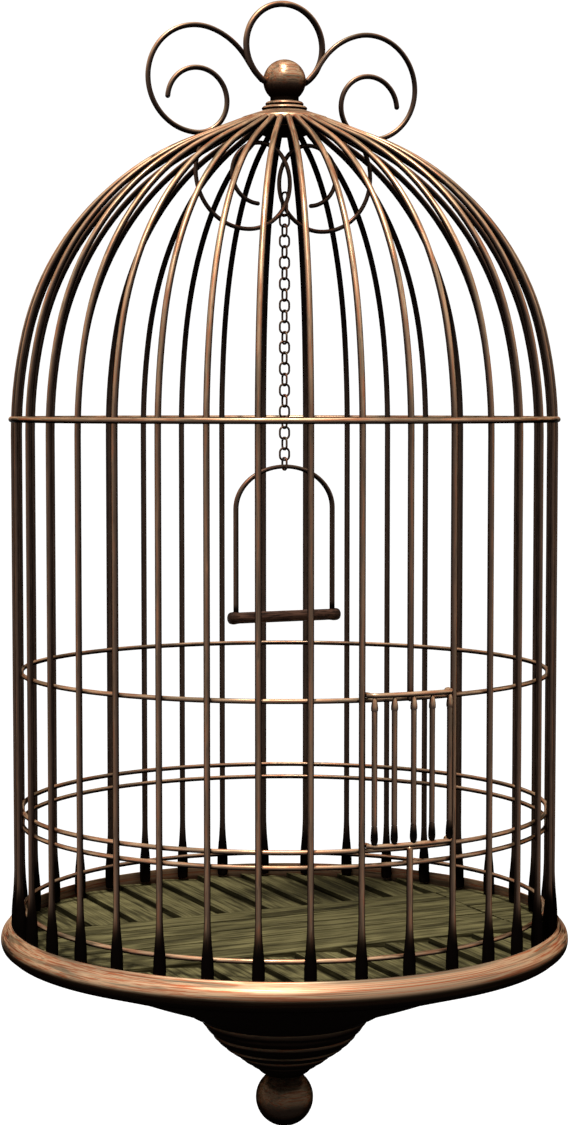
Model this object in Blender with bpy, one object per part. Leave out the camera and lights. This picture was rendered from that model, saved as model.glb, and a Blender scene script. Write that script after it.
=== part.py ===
"""A hanging bird cage of bronzed wire, with a dome, a sliding door and a swing on a chain.

Lengths are in metres and angles in degrees. +Z is up, X runs along the hanging hoop, the scrolls and the
perch, and the door faces -Y. The origin is where a hook bears, inside the top of the hanging hoop. Every
height below is measured from the shoulder ring, where the dome meets the straight bars, and one empty
carries the whole cage down from the hook.
"""

import math

import bmesh
import bpy
import numpy
from mathutils import Matrix

FULL_TURN = 360.0
HALF_TURN = 180.0
QUARTER_TURN = 90.0

SMOOTH_ANGLE = 40.0

# Fits
GAP = 0.0003  # between pieces that bear on each other
OVERRUN = 0.004  # how far a cutter passes what it cuts
DOUBLE = 0.000001  # points nearer than this are one

# The bars and the dome that they bend into
BAR_COUNT = 36
BAR_WIDTH = 0.0042
CAGE_RADIUS = 0.1865  # of the circle that the bars stand on
BEND_DROP = 0.010  # where the bars start to bend in, under the shoulder ring
SHOULDER_BEND = 0.302
SHOULDER_TURN = 13.4
DOME_BEND = 0.1863
CROWN_SLOPE = 21.3
BAR_TOP_RADIUS = 0.030  # where the bars end, round the crown
DECK_DROP = 0.3554  # the deck's top
FOOT_WIDTH = 0.0082
FOOT_HEIGHT = 0.0442
FOOT_HEIGHT_SHARES = (0.0, 0.18, 0.34, 0.66)
FOOT_WIDTH_SHARES = (0.45, 0.93, 0.98, 0.66)
BAR_SIDES = 5
SHOULDER_BEND_STEPS = 2
DOME_STEPS = 5

# The rings that tie the bars
SHOULDER_WIRE = 0.00405
SHOULDER_SEAT = 0.0016  # how far its centre lies outside the bars' circle
TIE_WIRE = 0.0033
DOOR_HEIGHT = 0.0949  # from the sill's ring to the head's
DOOR_SILL_LIFT = 0.0866  # over the deck, as the next two are
LOWER_TIE_LIFT = 0.0769
FOOT_TIE_LIFT = 0.0173
RING_SIDES = 5

# The door, which slides up on the two bars beside it
DOOR_BAR_ANGLES = (-8.0, -4.0, 0.0, 4.0, 8.0)
DOOR_BAR_WIDTH = 0.0039
DOOR_KNOB_WIDTH = 0.0046
DOOR_KNOB_HEIGHT = 0.010
DOOR_TIP_HEIGHT = 0.0107
DOOR_TIP_HEIGHT_SHARES = (0.0, 0.53)
DOOR_TIP_WIDTH_SHARES = (0.5, 1.13)
DOOR_KNOB_SHOULDER_SHARE = 0.8
DOOR_BAR_BELOW_HEAD = 0.001  # from the upper rail's centre to the bars' tips
DOOR_BAR_OVER_SILL = 0.0007  # from the lower rail's centre to the bars' feet
EYE_CLEARANCE = 0.0005  # between a rail's eye and the bar that it runs on
EYE_ANGLES = (30.0, 8.0, -14.0, -36.0, -58.0, -80.0, -102.0)  # round the bar, from the door to its back
DOOR_BAR_SIDES = 6

# The crown, from the bars' ends upwards
LOWER_BEAD_RADIUS = 0.0157
LOWER_BEAD_LIFT = 0.0090  # over the bars' ends
UPPER_BEAD_RADIUS = 0.0132
BEAD_PITCH = 0.0031
BEAD_HEIGHT = 0.0026
BEAD_DEPTH = 0.0009
NECK_RADIUS = 0.0098
HUB_RADIUS = 0.0172
HUB_DROP = 0.0093  # under the bars' ends
HUB_HEIGHT = 0.0060
HUB_TAPER_SHARE = 0.88
BALL_LIFT = 0.0156  # over the upper bead
BALL_RADIUS = 0.0147
CROWN_STEPS = 20
SEAT_SHARES = (1.0, 0.5, 0.0)

# The hanging hoop and the scrolls
HANGER_WIRE = 0.0044
HANGER_RADIUS = 0.0287
HANGER_LIFT = 0.0239  # over the ball's centre
HANGER_LOWEST = -66.0  # where the hoop's arc starts, inside the ball's cut
HANGER_STEPS = 20
SCROLL_WIRE = 0.0036
SCROLL_REACH = 0.063  # from the axis to the scroll's centre
SCROLL_DROP = 0.0156  # under the ball's centre
SCROLL_CURL = 0.0218
SCROLL_CURL_TURN = 270.0
SCROLL_BOW = 0.036
SCROLL_BOW_TURN = 195.0
SCROLL_SHOULDER = 0.048
SCROLL_SHOULDER_TURN = 42.0
SCROLL_TAIL = 0.070
SCROLL_TAIL_TURN = -12.0
SCROLL_TENON = 0.0046  # the tail's run into the ball's cut
LYRE_WIRE = 0.0030
LYRE_REACH = 0.0285  # from the axis to the centre of the wide bow
LYRE_DROP = 0.0355  # from the bars' ends to that centre
LYRE_WIDE_BOW = 0.0385
LYRE_BOW = 0.0318
LYRE_BOW_TURN = 125.0
LYRE_CURL = 0.0207
LYRE_CURL_TURN = 235.0
CURL_STEPS = 12
BOW_STEPS = 10
LYRE_WIDE_BOW_STEPS = 7
LYRE_BOW_STEPS = 9
LYRE_CURL_STEPS = 11
SHOULDER_STEPS = 3
SCROLL_SIDES = 6

# The chain
LINK_WIRE = 0.0014
LINK_WIDTH = 0.0086
LINK_HEIGHT = 0.009752
LINK_CORNER = 0.0022
TOP_LINK_WIDTH = 0.0102
TOP_LINK_HEIGHT = 0.0176
UPPER_CHAIN_LINKS = 11
LOWER_CHAIN_LINKS = 11
LINK_LAP_SHARE = 0.3  # how deep the links of one run bite into each other
LINK_SIDES = 5

# The swing
BAIL_WIRE = 0.0029
BAIL_HALF_WIDTH = 0.0369
BAIL_ARCH_HEIGHT = 0.050
BAIL_HEIGHT = 0.1044  # from the arch's top to the perch's centre
BAIL_STEPS = 16
PERCH_WIDTH = 0.0083
PERCH_LENGTH = 0.086
PERCH_END = 0.0026
PERCH_END_LENGTH_SHARES = (0.0, 0.35, 1.0)
PERCH_END_WIDTH_SHARES = (0.5, 0.86, 1.0)
PERCH_SIDES = 12

# The base
RIM_OUTSET = 0.0045  # from the bars' circle to the rim's inner side
RIM_WIDTH = 0.007
RIM_CREST = 0.0074  # over the deck
RIM_DEPTH = 0.0192
RIM_ACROSS_SHARES = (0.0, 0.5, 0.86, 1.0, 0.83, 0.29)
RIM_DOWN_SHARES = (0.0, 0.21, 0.36, 0.604, 0.85, 1.0)
LEDGE_WIDTH = 0.007  # of the inner shelf that the deck lies on
DECK_THICKNESS = 0.005
PAN_WALL = 0.0022
PAN_OUTSET = 0.002  # from the rim's inner side to the pan's edge
PAN_DEPTH = 0.044
CONE_RADIUS = 0.0909
CONE_DEPTH = 0.0478
CONE_ACROSS_SHARES = (1.0, 0.647, 0.622, 0.542, 0.536, 0.451, 0.343, 0.332, 0.22, 0.135)
CONE_DOWN_SHARES = (0.0, 0.182, 0.251, 0.393, 0.429, 0.575, 0.726, 0.762, 0.89, 1.0)
HOLLOW_ACROSS_SHARES = (0.0, 0.3, 0.6)
HOLLOW_DOWN_SHARES = (0.78, 0.62, 0.13)
FOOT_BALL_RADIUS = 0.0203
FOOT_BALL_SINK = 0.0182  # from the cone's tip to the ball's centre
RIM_STEPS = 72
CONE_STEPS = 36
BALL_STEPS = 18

# Worked out from the sizes above
BAR_RADIUS = BAR_WIDTH / 2
BAR_ANGLE = FULL_TURN / BAR_COUNT
DOOR_SILL_DROP = DECK_DROP - DOOR_SILL_LIFT
DOOR_HEAD_DROP = DOOR_SILL_DROP - DOOR_HEIGHT
LOWER_TIE_DROP = DECK_DROP - LOWER_TIE_LIFT
FOOT_TIE_DROP = DECK_DROP - FOOT_TIE_LIFT
DOOR_ANGLE = -QUARTER_TURN
DOOR_RADIUS = CAGE_RADIUS + BAR_RADIUS + DOOR_KNOB_WIDTH / 2 + GAP
RIM_INNER_RADIUS = CAGE_RADIUS + RIM_OUTSET
PAN_RADIUS = RIM_INNER_RADIUS + PAN_OUTSET
RAIL_LIFT = TIE_WIRE + GAP  # a rail's centre over the ring that its eyes rest on
SCROLL_OFFSET = max(HANGER_WIRE, BAR_WIDTH) / 2 + SCROLL_WIRE / 2 + GAP
LYRE_OFFSET = LYRE_WIRE / 2 + GAP / 2
LINK_HALF = (LINK_HEIGHT - LINK_WIRE) / 2
FIXED_PITCH = LINK_HEIGHT - LINK_WIRE * (2 - LINK_LAP_SHARE)
LOOSE_PITCH = LINK_HEIGHT - LINK_WIRE * 2 - GAP
RIM_CREST_DROP = DECK_DROP - RIM_CREST
RIM_LOWER_DROP = RIM_CREST_DROP + RIM_DEPTH
PAN_DROP = RIM_LOWER_DROP + GAP
CONE_DROP = PAN_DROP + PAN_DEPTH
FOOT_BALL_DROP = CONE_DROP + CONE_DEPTH + FOOT_BALL_SINK


def sine(degrees):
    return math.sin(math.radians(degrees))


def cosine(degrees):
    return math.cos(math.radians(degrees))


class Bend:
    """The centreline of a bent wire in its own plane, made as a smith bends it: straight runs and arcs."""

    def __init__(self, across, up, heading):
        self.points = [(across, up)]
        self.heading = heading

    def straight(self, length):
        across, up = self.points[-1]
        self.points.append((across + length * cosine(self.heading), up + length * sine(self.heading)))
        return self

    def arc(self, radius, turn, steps):
        """Turns left for a positive turn and right for a negative one."""
        side = math.copysign(QUARTER_TURN, turn)
        across, up = self.points[-1]
        centre_across = across + radius * cosine(self.heading + side)
        centre_up = up + radius * sine(self.heading + side)
        for step in range(1, steps + 1):
            spoke = self.heading - side + turn * step / steps
            self.points.append((centre_across + radius * cosine(spoke), centre_up + radius * sine(spoke)))
        self.heading += turn
        return self


def shoulder_path():
    """A bar's first, gentle bend, from under the shoulder ring."""
    return Bend(CAGE_RADIUS, -BEND_DROP, QUARTER_TURN).arc(SHOULDER_BEND, SHOULDER_TURN, SHOULDER_BEND_STEPS)


def dome_path():
    """A bar's bends, and its straight run up to the crown."""
    path = shoulder_path().arc(DOME_BEND, QUARTER_TURN - SHOULDER_TURN - CROWN_SLOPE, DOME_STEPS)
    return path.straight((path.points[-1][0] - BAR_TOP_RADIUS) / cosine(CROWN_SLOPE))


def dome_centre():
    """The centre of the dome's bend, as (radius, height)."""
    across, up = shoulder_path().points[-1]
    return across - DOME_BEND * cosine(SHOULDER_TURN), up - DOME_BEND * sine(SHOULDER_TURN)


# Heights that follow the dome
BAR_TOP_RISE = dome_path().points[-1][1]
LOWER_BEAD_RISE = BAR_TOP_RISE + LOWER_BEAD_LIFT
UPPER_BEAD_RISE = LOWER_BEAD_RISE + BEAD_PITCH
BALL_RISE = UPPER_BEAD_RISE + BALL_LIFT
HANGER_RISE = BALL_RISE + HANGER_LIFT
HOOK_RISE = HANGER_RISE + HANGER_RADIUS - HANGER_WIRE / 2
SCROLL_RISE = BALL_RISE - SCROLL_DROP
LYRE_RISE = BAR_TOP_RISE - LYRE_DROP


def clear_scene():
    for existing in list(bpy.data.objects):
        bpy.data.objects.remove(existing, do_unlink=True)


def finish(name, colour, roughness, metallic):
    made = bpy.data.materials.new(name)
    made.use_nodes = True
    shader = made.node_tree.nodes["Principled BSDF"]
    shader.inputs["Base Color"].default_value = (*colour, 1.0)
    shader.inputs["Roughness"].default_value = roughness
    shader.inputs["Metallic"].default_value = metallic
    return made


def finished_mesh(name, built):
    """Turns the built shape into a mesh with its faces out, and round faces smooth between sharp edges."""
    bmesh.ops.recalc_face_normals(built, faces=built.faces)
    mesh = bpy.data.meshes.new(name)
    built.to_mesh(mesh)
    built.free()
    mesh.shade_smooth()
    mesh.set_sharp_from_angle(angle=math.radians(SMOOTH_ANGLE))
    return mesh


def wire(built, points, widths, sides, closed=False):
    """Adds a round wire along points of the XZ plane. widths is one width, or one for each point."""
    count = len(points)
    if not isinstance(widths, (list, tuple)):
        widths = [widths] * count
    headings = []
    for here, there in zip(points, points[1:] + points[:1]):
        headings.append(math.atan2(there[1] - here[1], there[0] - here[0]))
    rounds = []
    for place, (across, up) in enumerate(points):
        ahead = headings[place] if closed or place < count - 1 else headings[place - 1]
        behind = headings[place - 1] if closed or place > 0 else headings[place]
        bend = math.remainder(ahead - behind, 2 * math.pi)
        normal = behind + bend / 2 + math.pi / 2
        radius = widths[place] / 2
        mitre = radius / math.cos(bend / 2)
        corners = []
        for side in range(sides):
            spoke = FULL_TURN * (side + 1 / 2) / sides
            outward = mitre * cosine(spoke)
            place_across = across + outward * math.cos(normal)
            place_up = up + outward * math.sin(normal)
            corners.append(built.verts.new((place_across, radius * sine(spoke), place_up)))
        rounds.append(corners)
    pairs = zip(rounds, rounds[1:] + rounds[:1]) if closed else zip(rounds, rounds[1:])
    for first, second in pairs:
        for side in range(sides):
            after = (side + 1) % sides
            built.faces.new((first[side], first[after], second[after], second[side]))
    if not closed:
        built.faces.new(rounds[0])
        built.faces.new(rounds[-1])


def wire_mesh(name, points, widths, sides, closed=False):
    built = bmesh.new()
    wire(built, points, widths, sides, closed)
    return finished_mesh(name, built)


def turned_mesh(name, outline, steps, closed=False):
    """Spins an outline of (radius, height) round Z. An open outline starts and ends on the axis."""
    built = bmesh.new()
    corners = [built.verts.new((radius, 0, height)) for radius, height in outline]
    pairs = zip(corners, corners[1:] + corners[:1]) if closed else zip(corners, corners[1:])
    edges = [built.edges.new(pair) for pair in pairs]
    bmesh.ops.spin(
        built,
        geom=corners + edges,
        cent=(0, 0, 0),
        axis=(0, 0, 1),
        angle=2 * math.pi,
        steps=steps,
        use_merge=True,
    )
    bmesh.ops.remove_doubles(built, verts=built.verts, dist=DOUBLE)
    return finished_mesh(name, built)


def placed(name, mesh, material, parent, location=(0, 0, 0), turn=0.0):
    made = bpy.data.objects.new(name, mesh)
    bpy.context.scene.collection.objects.link(made)
    made.parent = parent
    made.location = location
    made.rotation_euler.z = math.radians(turn)
    if material and not mesh.materials:
        mesh.materials.append(material)
    return made


def helper(name, mesh, parent, location=(0, 0, 0)):
    """A cutter or a tool for a join, which isn't part of the cage."""
    made = placed(name, mesh, None, parent, location)
    made.hide_render = True
    made.display_type = "WIRE"
    return made


def combine(piece, operation, other):
    modifier = piece.modifiers.new(operation.lower(), "BOOLEAN")
    modifier.operation = operation
    modifier.solver = "EXACT"
    modifier.object = other


def seat_outline(radius, centre_height, ball_radius, side):
    """The hollow that a ball sits in, from its edge to the axis. side is -1 under the ball, 1 over it."""
    hollow = ball_radius + GAP
    return [
        (radius * share, centre_height + side * math.sqrt(hollow**2 - (radius * share) ** 2))
        for share in SEAT_SHARES
    ]


def bar_foot():
    """Heights and widths of a bar's flared foot, from the deck up to the plain bar."""
    bottom = -DECK_DROP + GAP
    heights = [bottom + share * FOOT_HEIGHT for share in FOOT_HEIGHT_SHARES] + [bottom + FOOT_HEIGHT]
    widths = [share * FOOT_WIDTH for share in FOOT_WIDTH_SHARES] + [BAR_WIDTH]
    return heights, widths


def bar_outline(foot):
    """Points and widths of a bar from its lower end. Without a foot it starts at the door's head."""
    if foot:
        heights, widths = bar_foot()
    else:
        heights, widths = [-DOOR_HEAD_DROP - TIE_WIRE / 2], [BAR_WIDTH]
    bends = dome_path().points
    return [(CAGE_RADIUS, height) for height in heights] + bends, widths + [BAR_WIDTH] * len(bends)


def ring_points(seat_radius):
    """A ring's points, with a straight stretch at each bar and its corners midway between them."""
    corner_radius = seat_radius / cosine(BAR_ANGLE / 2)
    angles = [BAR_ANGLE * (place + 1 / 2) for place in range(BAR_COUNT)]
    return [(corner_radius * cosine(angle), corner_radius * sine(angle)) for angle in angles]


def laid_flat(mesh):
    """Turns a mesh made in the XZ plane into the XY plane."""
    mesh.transform(Matrix.Rotation(-math.pi / 2, 4, "X"))
    return mesh


def add_ring(name, seat_radius, wire_width, height, material, cage):
    mesh = laid_flat(wire_mesh(name, ring_points(seat_radius), wire_width, RING_SIDES, closed=True))
    return placed(name, mesh, material, cage, (0, 0, height))


def add_bars(metal, cage, groove):
    whole = wire_mesh("bar", *bar_outline(foot=True), BAR_SIDES)
    number = 0
    for place in range(BAR_COUNT):
        turn = BAR_ANGLE * place
        if abs(math.remainder(turn - DOOR_ANGLE, FULL_TURN)) < BAR_ANGLE / 2:
            mesh = wire_mesh("door_head_bar", *bar_outline(foot=False), BAR_SIDES)
            bar = placed("door_head_bar", mesh, metal, cage, turn=turn)
        else:
            number += 1
            bar = placed(f"bar_{number:02d}", whole, metal, cage, turn=turn)
        combine(bar, "DIFFERENCE", groove)


def add_sill_bar(metal, cage):
    heights, widths = bar_foot()
    points = [(CAGE_RADIUS, height) for height in [*heights, -DOOR_SILL_DROP + TIE_WIRE / 2]]
    mesh = wire_mesh("door_sill_bar", points, [*widths, BAR_WIDTH], BAR_SIDES)
    placed("door_sill_bar", mesh, metal, cage, turn=DOOR_ANGLE)


def tie_seat(height):
    """The radius of a ring inside the bars at this height, against the flats of their faceted sections."""
    bar_width = float(numpy.interp(height - TIE_WIRE / 2, *bar_foot()))
    return CAGE_RADIUS - bar_width / 2 * cosine(HALF_TURN / BAR_SIDES) - TIE_WIRE / 2 - GAP


def add_rings(metal, cage):
    add_ring("shoulder_ring", CAGE_RADIUS + SHOULDER_SEAT, SHOULDER_WIRE, 0, metal, cage)
    ties = {
        "door_head_ring": -DOOR_HEAD_DROP,
        "door_sill_ring": -DOOR_SILL_DROP,
        "lower_ring": -LOWER_TIE_DROP,
        "foot_ring": -FOOT_TIE_DROP,
    }
    for name, height in ties.items():
        add_ring(name, tie_seat(height), TIE_WIRE, height, metal, cage)


def shoulder_groove(cage):
    """The space that the shoulder ring takes in every bar."""
    width = SHOULDER_WIRE + 2 * GAP
    groove = add_ring("shoulder_groove", CAGE_RADIUS + SHOULDER_SEAT, width, 0, None, cage)
    groove.hide_render = True
    groove.display_type = "WIRE"
    return groove


def bead_outline(radius, height):
    """A half round moulding, from its lower edge to its upper one."""
    return [
        (radius - BEAD_DEPTH, height - BEAD_HEIGHT / 2),
        (radius, height),
        (radius - BEAD_DEPTH, height + BEAD_HEIGHT / 2),
    ]


def add_crown_hub(metal, cage):
    """The hub and the disc that the bars' ends butt against, with the collar under the ball."""
    along = (cosine(CROWN_SLOPE), -sine(CROWN_SLOPE))
    over = (sine(CROWN_SLOPE), cosine(CROWN_SLOPE))
    end = (BAR_TOP_RADIUS - GAP * along[0], BAR_TOP_RISE - GAP * along[1])
    bottom = BAR_TOP_RISE - HUB_DROP
    outline = [
        (0, bottom),
        (HUB_RADIUS * HUB_TAPER_SHARE, bottom),
        (HUB_RADIUS, bottom + HUB_HEIGHT),
        (end[0] - BAR_RADIUS * over[0], end[1] - BAR_RADIUS * over[1]),
        (end[0] + BAR_RADIUS * over[0], end[1] + BAR_RADIUS * over[1]),
        *bead_outline(LOWER_BEAD_RADIUS, LOWER_BEAD_RISE),
        *bead_outline(UPPER_BEAD_RADIUS, UPPER_BEAD_RISE),
        *seat_outline(NECK_RADIUS, BALL_RISE, BALL_RADIUS, -1),
    ]
    placed("crown_hub", turned_mesh("crown_hub", outline, CROWN_STEPS), metal, cage)


def ball_mesh(name, radius):
    built = bmesh.new()
    bmesh.ops.create_uvsphere(built, u_segments=BALL_STEPS, v_segments=BALL_STEPS // 2, radius=radius)
    return finished_mesh(name, built)


def add_hoop_and_scrolls(metal, cage):
    """The hoop and the scrolls' tails are coped to the ball. A scroll stands beside the bar under it."""
    cope = helper("ball_cope", ball_mesh("ball_cope", BALL_RADIUS + GAP), cage, (0, 0, BALL_RISE))
    start = (HANGER_RADIUS * cosine(HANGER_LOWEST), HANGER_RISE + HANGER_RADIUS * sine(HANGER_LOWEST))
    hoop = Bend(*start, HANGER_LOWEST + QUARTER_TURN)
    hoop.arc(HANGER_RADIUS, HALF_TURN - 2 * HANGER_LOWEST, HANGER_STEPS)
    hoop_mesh = wire_mesh("hanging_hoop", hoop.points, HANGER_WIRE, SCROLL_SIDES)
    combine(placed("hanging_hoop", hoop_mesh, metal, cage), "DIFFERENCE", cope)

    scroll = Bend(SCROLL_REACH + SCROLL_CURL, SCROLL_RISE, QUARTER_TURN)
    scroll.arc(SCROLL_CURL, SCROLL_CURL_TURN, CURL_STEPS)
    scroll.arc(SCROLL_BOW, SCROLL_BOW_TURN, BOW_STEPS)
    scroll.arc(SCROLL_SHOULDER, SCROLL_SHOULDER_TURN, SHOULDER_STEPS)
    scroll.arc(SCROLL_TAIL, SCROLL_TAIL_TURN, 1)
    scroll.straight(SCROLL_TENON)
    mesh = wire_mesh("outer_scroll", scroll.points, SCROLL_WIRE, SCROLL_SIDES)
    right = placed("outer_scroll_right", mesh, metal, cage, (0, -SCROLL_OFFSET, 0))
    left = placed("outer_scroll_left", mesh, metal, cage, (0, SCROLL_OFFSET, 0), HALF_TURN)
    combine(right, "DIFFERENCE", cope)
    combine(left, "DIFFERENCE", cope)


def lyre_start_angle():
    """Where a lyre scroll's wide bow meets the underside of the bar over it, round the bow's own centre."""
    dome_across, dome_up = dome_centre()
    across = LYRE_REACH - dome_across
    up = LYRE_RISE - dome_up
    between = math.hypot(across, up)
    reach = DOME_BEND - math.sqrt((BAR_RADIUS + LYRE_WIRE / 2 + GAP) ** 2 - LYRE_OFFSET**2)
    turn = math.acos((reach**2 - between**2 - LYRE_WIDE_BOW**2) / (2 * between * LYRE_WIDE_BOW))
    return math.degrees(math.atan2(up, across) - turn)


def lyre_points():
    """The right lyre scroll, from its end under a bar, round the bows to the curl's end."""
    start = lyre_start_angle()
    across = LYRE_REACH + LYRE_WIDE_BOW * cosine(start)
    scroll = Bend(across, LYRE_RISE + LYRE_WIDE_BOW * sine(start), start - QUARTER_TURN)
    scroll.arc(LYRE_WIDE_BOW, -(QUARTER_TURN + start), LYRE_WIDE_BOW_STEPS)
    scroll.arc(LYRE_BOW, -LYRE_BOW_TURN, LYRE_BOW_STEPS)
    scroll.arc(LYRE_CURL, -LYRE_CURL_TURN, LYRE_CURL_STEPS)
    return scroll.points


def add_lyre_scrolls(metal, cage):
    mesh = wire_mesh("lyre_scroll", lyre_points(), LYRE_WIRE, SCROLL_SIDES)
    placed("lyre_scroll_right", mesh, metal, cage, (0, LYRE_OFFSET, 0))
    placed("lyre_scroll_left", mesh, metal, cage, (0, -LYRE_OFFSET, 0), HALF_TURN)


def link_points(width, height):
    """A link's centreline round its own centre, an oblong with cut corners."""
    half_width = (width - LINK_WIRE) / 2
    half_height = (height - LINK_WIRE) / 2
    return [
        (side * (half_width - inset_across), end * (half_height - inset_up))
        for side, end, inset_across, inset_up in (
            (1, 1, 0, LINK_CORNER),
            (1, 1, LINK_CORNER, 0),
            (-1, 1, LINK_CORNER, 0),
            (-1, 1, 0, LINK_CORNER),
            (-1, -1, 0, LINK_CORNER),
            (-1, -1, LINK_CORNER, 0),
            (1, -1, LINK_CORNER, 0),
            (1, -1, 0, LINK_CORNER),
        )
    ]


def links_mesh(name, heights, facing_side):
    """Links at these heights, in the YZ plane if they face the side and otherwise in the XZ plane."""
    built = bmesh.new()
    for height in heights:
        points = [(across, up + height) for across, up in link_points(LINK_WIDTH, LINK_HEIGHT)]
        wire(built, points, LINK_WIRE, LINK_SIDES, closed=True)
    mesh = finished_mesh(name, built)
    if facing_side:
        mesh.transform(Matrix.Rotation(math.pi / 2, 4, "Z"))
    return mesh


def add_chain_run(name, count, first_faces_side, pivot, first_centre, metal, cage):
    """A run of links that are one piece, hung from its pivot. Returns the last one's centre."""
    heights = [first_centre - pivot - FIXED_PITCH * place for place in range(count)]
    run = placed(name, links_mesh(name, heights[::2], first_faces_side), metal, cage, (0, 0, pivot))
    if count > 1:
        others = links_mesh(f"{name}_between", heights[1::2], not first_faces_side)
        combine(run, "UNION", helper(f"{name}_between", others, cage, (0, 0, pivot)))
    return first_centre - FIXED_PITCH * (count - 1)


def top_link_height():
    """The upper end of the top link, where it lies in the notch between the two crossing lyre scrolls."""
    clearance = LYRE_WIRE / 2 + LINK_WIRE / 2 + GAP
    points = lyre_points()
    rests = []
    for here, there in zip(points, points[1:]):
        length = math.dist(here, there)
        run, rise = (there[0] - here[0]) / length, (there[1] - here[1]) / length
        height = here[1] - here[0] * rise / run + clearance / abs(run)
        foot = (height - here[1]) * rise - here[0] * run
        if 0 <= foot <= length and height < LYRE_RISE:
            rests.append(height)
    return max(rests)


def add_top_link(metal, cage):
    """The long link round both lyre scrolls and the next one, fixed to it. Returns that one's centre."""
    top = top_link_height()
    height = TOP_LINK_HEIGHT - LINK_WIRE
    points = [(across, up - height / 2) for across, up in link_points(TOP_LINK_WIDTH, TOP_LINK_HEIGHT)]
    mesh = wire_mesh("top_link", points, LINK_WIRE, LINK_SIDES, closed=True)
    mesh.transform(Matrix.Rotation(math.pi / 2, 4, "Z"))
    link = placed("top_link", mesh, metal, cage, (0, 0, top))
    centre = -height + LINK_WIRE * (1 - LINK_LAP_SHARE) - LINK_HALF
    combine(link, "UNION", helper("next_link", links_mesh("next_link", [centre], False), cage, (0, 0, top)))
    return top + centre


def add_chain(metal, cage):
    """Returns the height of the lowest link's centre."""
    last = add_top_link(metal, cage)
    for name, count, faces_side in (
        ("upper_chain", UPPER_CHAIN_LINKS, True),
        ("lower_chain", LOWER_CHAIN_LINKS, False),
        ("end_link", 1, True),
    ):
        last = add_chain_run(name, count, faces_side, last - LINK_HALF, last - LOOSE_PITCH, metal, cage)
    return last


def add_swing(metal, wood, cage, end_link_centre):
    """The bail hangs in the end link, and its legs stand in two blind holes in the perch."""
    top = end_link_centre - LINK_HALF + LINK_WIRE / 2 + GAP + BAIL_WIRE / 2
    leg_end = -BAIL_HEIGHT + GAP
    points = [(BAIL_HALF_WIDTH, leg_end)]
    for step in range(BAIL_STEPS + 1):
        angle = HALF_TURN * step / BAIL_STEPS
        points.append((BAIL_HALF_WIDTH * cosine(angle), -BAIL_ARCH_HEIGHT * (1 - sine(angle))))
    points.append((-BAIL_HALF_WIDTH, leg_end))
    bail = wire_mesh("swing_bail", points, BAIL_WIRE, SCROLL_SIDES)
    placed("swing_bail", bail, metal, cage, (0, 0, top))

    half = PERCH_LENGTH / 2
    ends = [half - PERCH_END * share for share in PERCH_END_LENGTH_SHARES]
    widths = [PERCH_WIDTH * share for share in PERCH_END_WIDTH_SHARES]
    points = [(-along, 0) for along in ends] + [(along, 0) for along in reversed(ends)]
    mesh = wire_mesh("perch", points, widths + widths[::-1], PERCH_SIDES)
    perch_height = top - BAIL_HEIGHT
    perch = placed("perch", mesh, wood, cage, (0, 0, perch_height))
    built = bmesh.new()
    for side in (-1, 1):
        across = side * BAIL_HALF_WIDTH
        wire(built, [(across, 0), (across, PERCH_WIDTH / 2 + OVERRUN)], BAIL_WIRE + 2 * GAP, PERCH_SIDES)
    holes = helper("perch_holes", finished_mesh("perch_holes", built), cage, (0, 0, perch_height))
    combine(perch, "DIFFERENCE", holes)


def rail_points():
    """A rail in plan, from the eye on one side bar to the eye on the other, as (x, y)."""
    eye_bend = BAR_RADIUS + TIE_WIRE / 2 + EYE_CLEARANCE
    front = [(DOOR_RADIUS * sine(angle), -DOOR_RADIUS * cosine(angle)) for angle in DOOR_BAR_ANGLES]
    eye = []
    for angle in EYE_ANGLES:
        toward_door = eye_bend * cosine(angle)
        outward = CAGE_RADIUS + eye_bend * sine(angle)
        eye.append(
            (
                outward * sine(BAR_ANGLE) - toward_door * cosine(BAR_ANGLE),
                -outward * cosine(BAR_ANGLE) - toward_door * sine(BAR_ANGLE),
            )
        )
    return [(-x, y) for x, y in reversed(eye)] + front + eye


def door_bar_outline():
    """Heights and widths of a door bar, from its knobbed foot to its tapered tip."""
    foot = DOOR_BAR_OVER_SILL
    tip = DOOR_HEIGHT - DOOR_BAR_BELOW_HEAD
    heights = [foot, foot + DOOR_KNOB_HEIGHT * DOOR_KNOB_SHOULDER_SHARE, foot + DOOR_KNOB_HEIGHT]
    widths = [DOOR_KNOB_WIDTH, DOOR_KNOB_WIDTH, DOOR_BAR_WIDTH]
    heights.append(tip - DOOR_TIP_HEIGHT)
    widths.append(DOOR_BAR_WIDTH)
    for height_share, width_share in zip(reversed(DOOR_TIP_HEIGHT_SHARES), reversed(DOOR_TIP_WIDTH_SHARES)):
        heights.append(tip - DOOR_TIP_HEIGHT * height_share)
        widths.append(DOOR_BAR_WIDTH * width_share)
    return heights, widths


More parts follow.
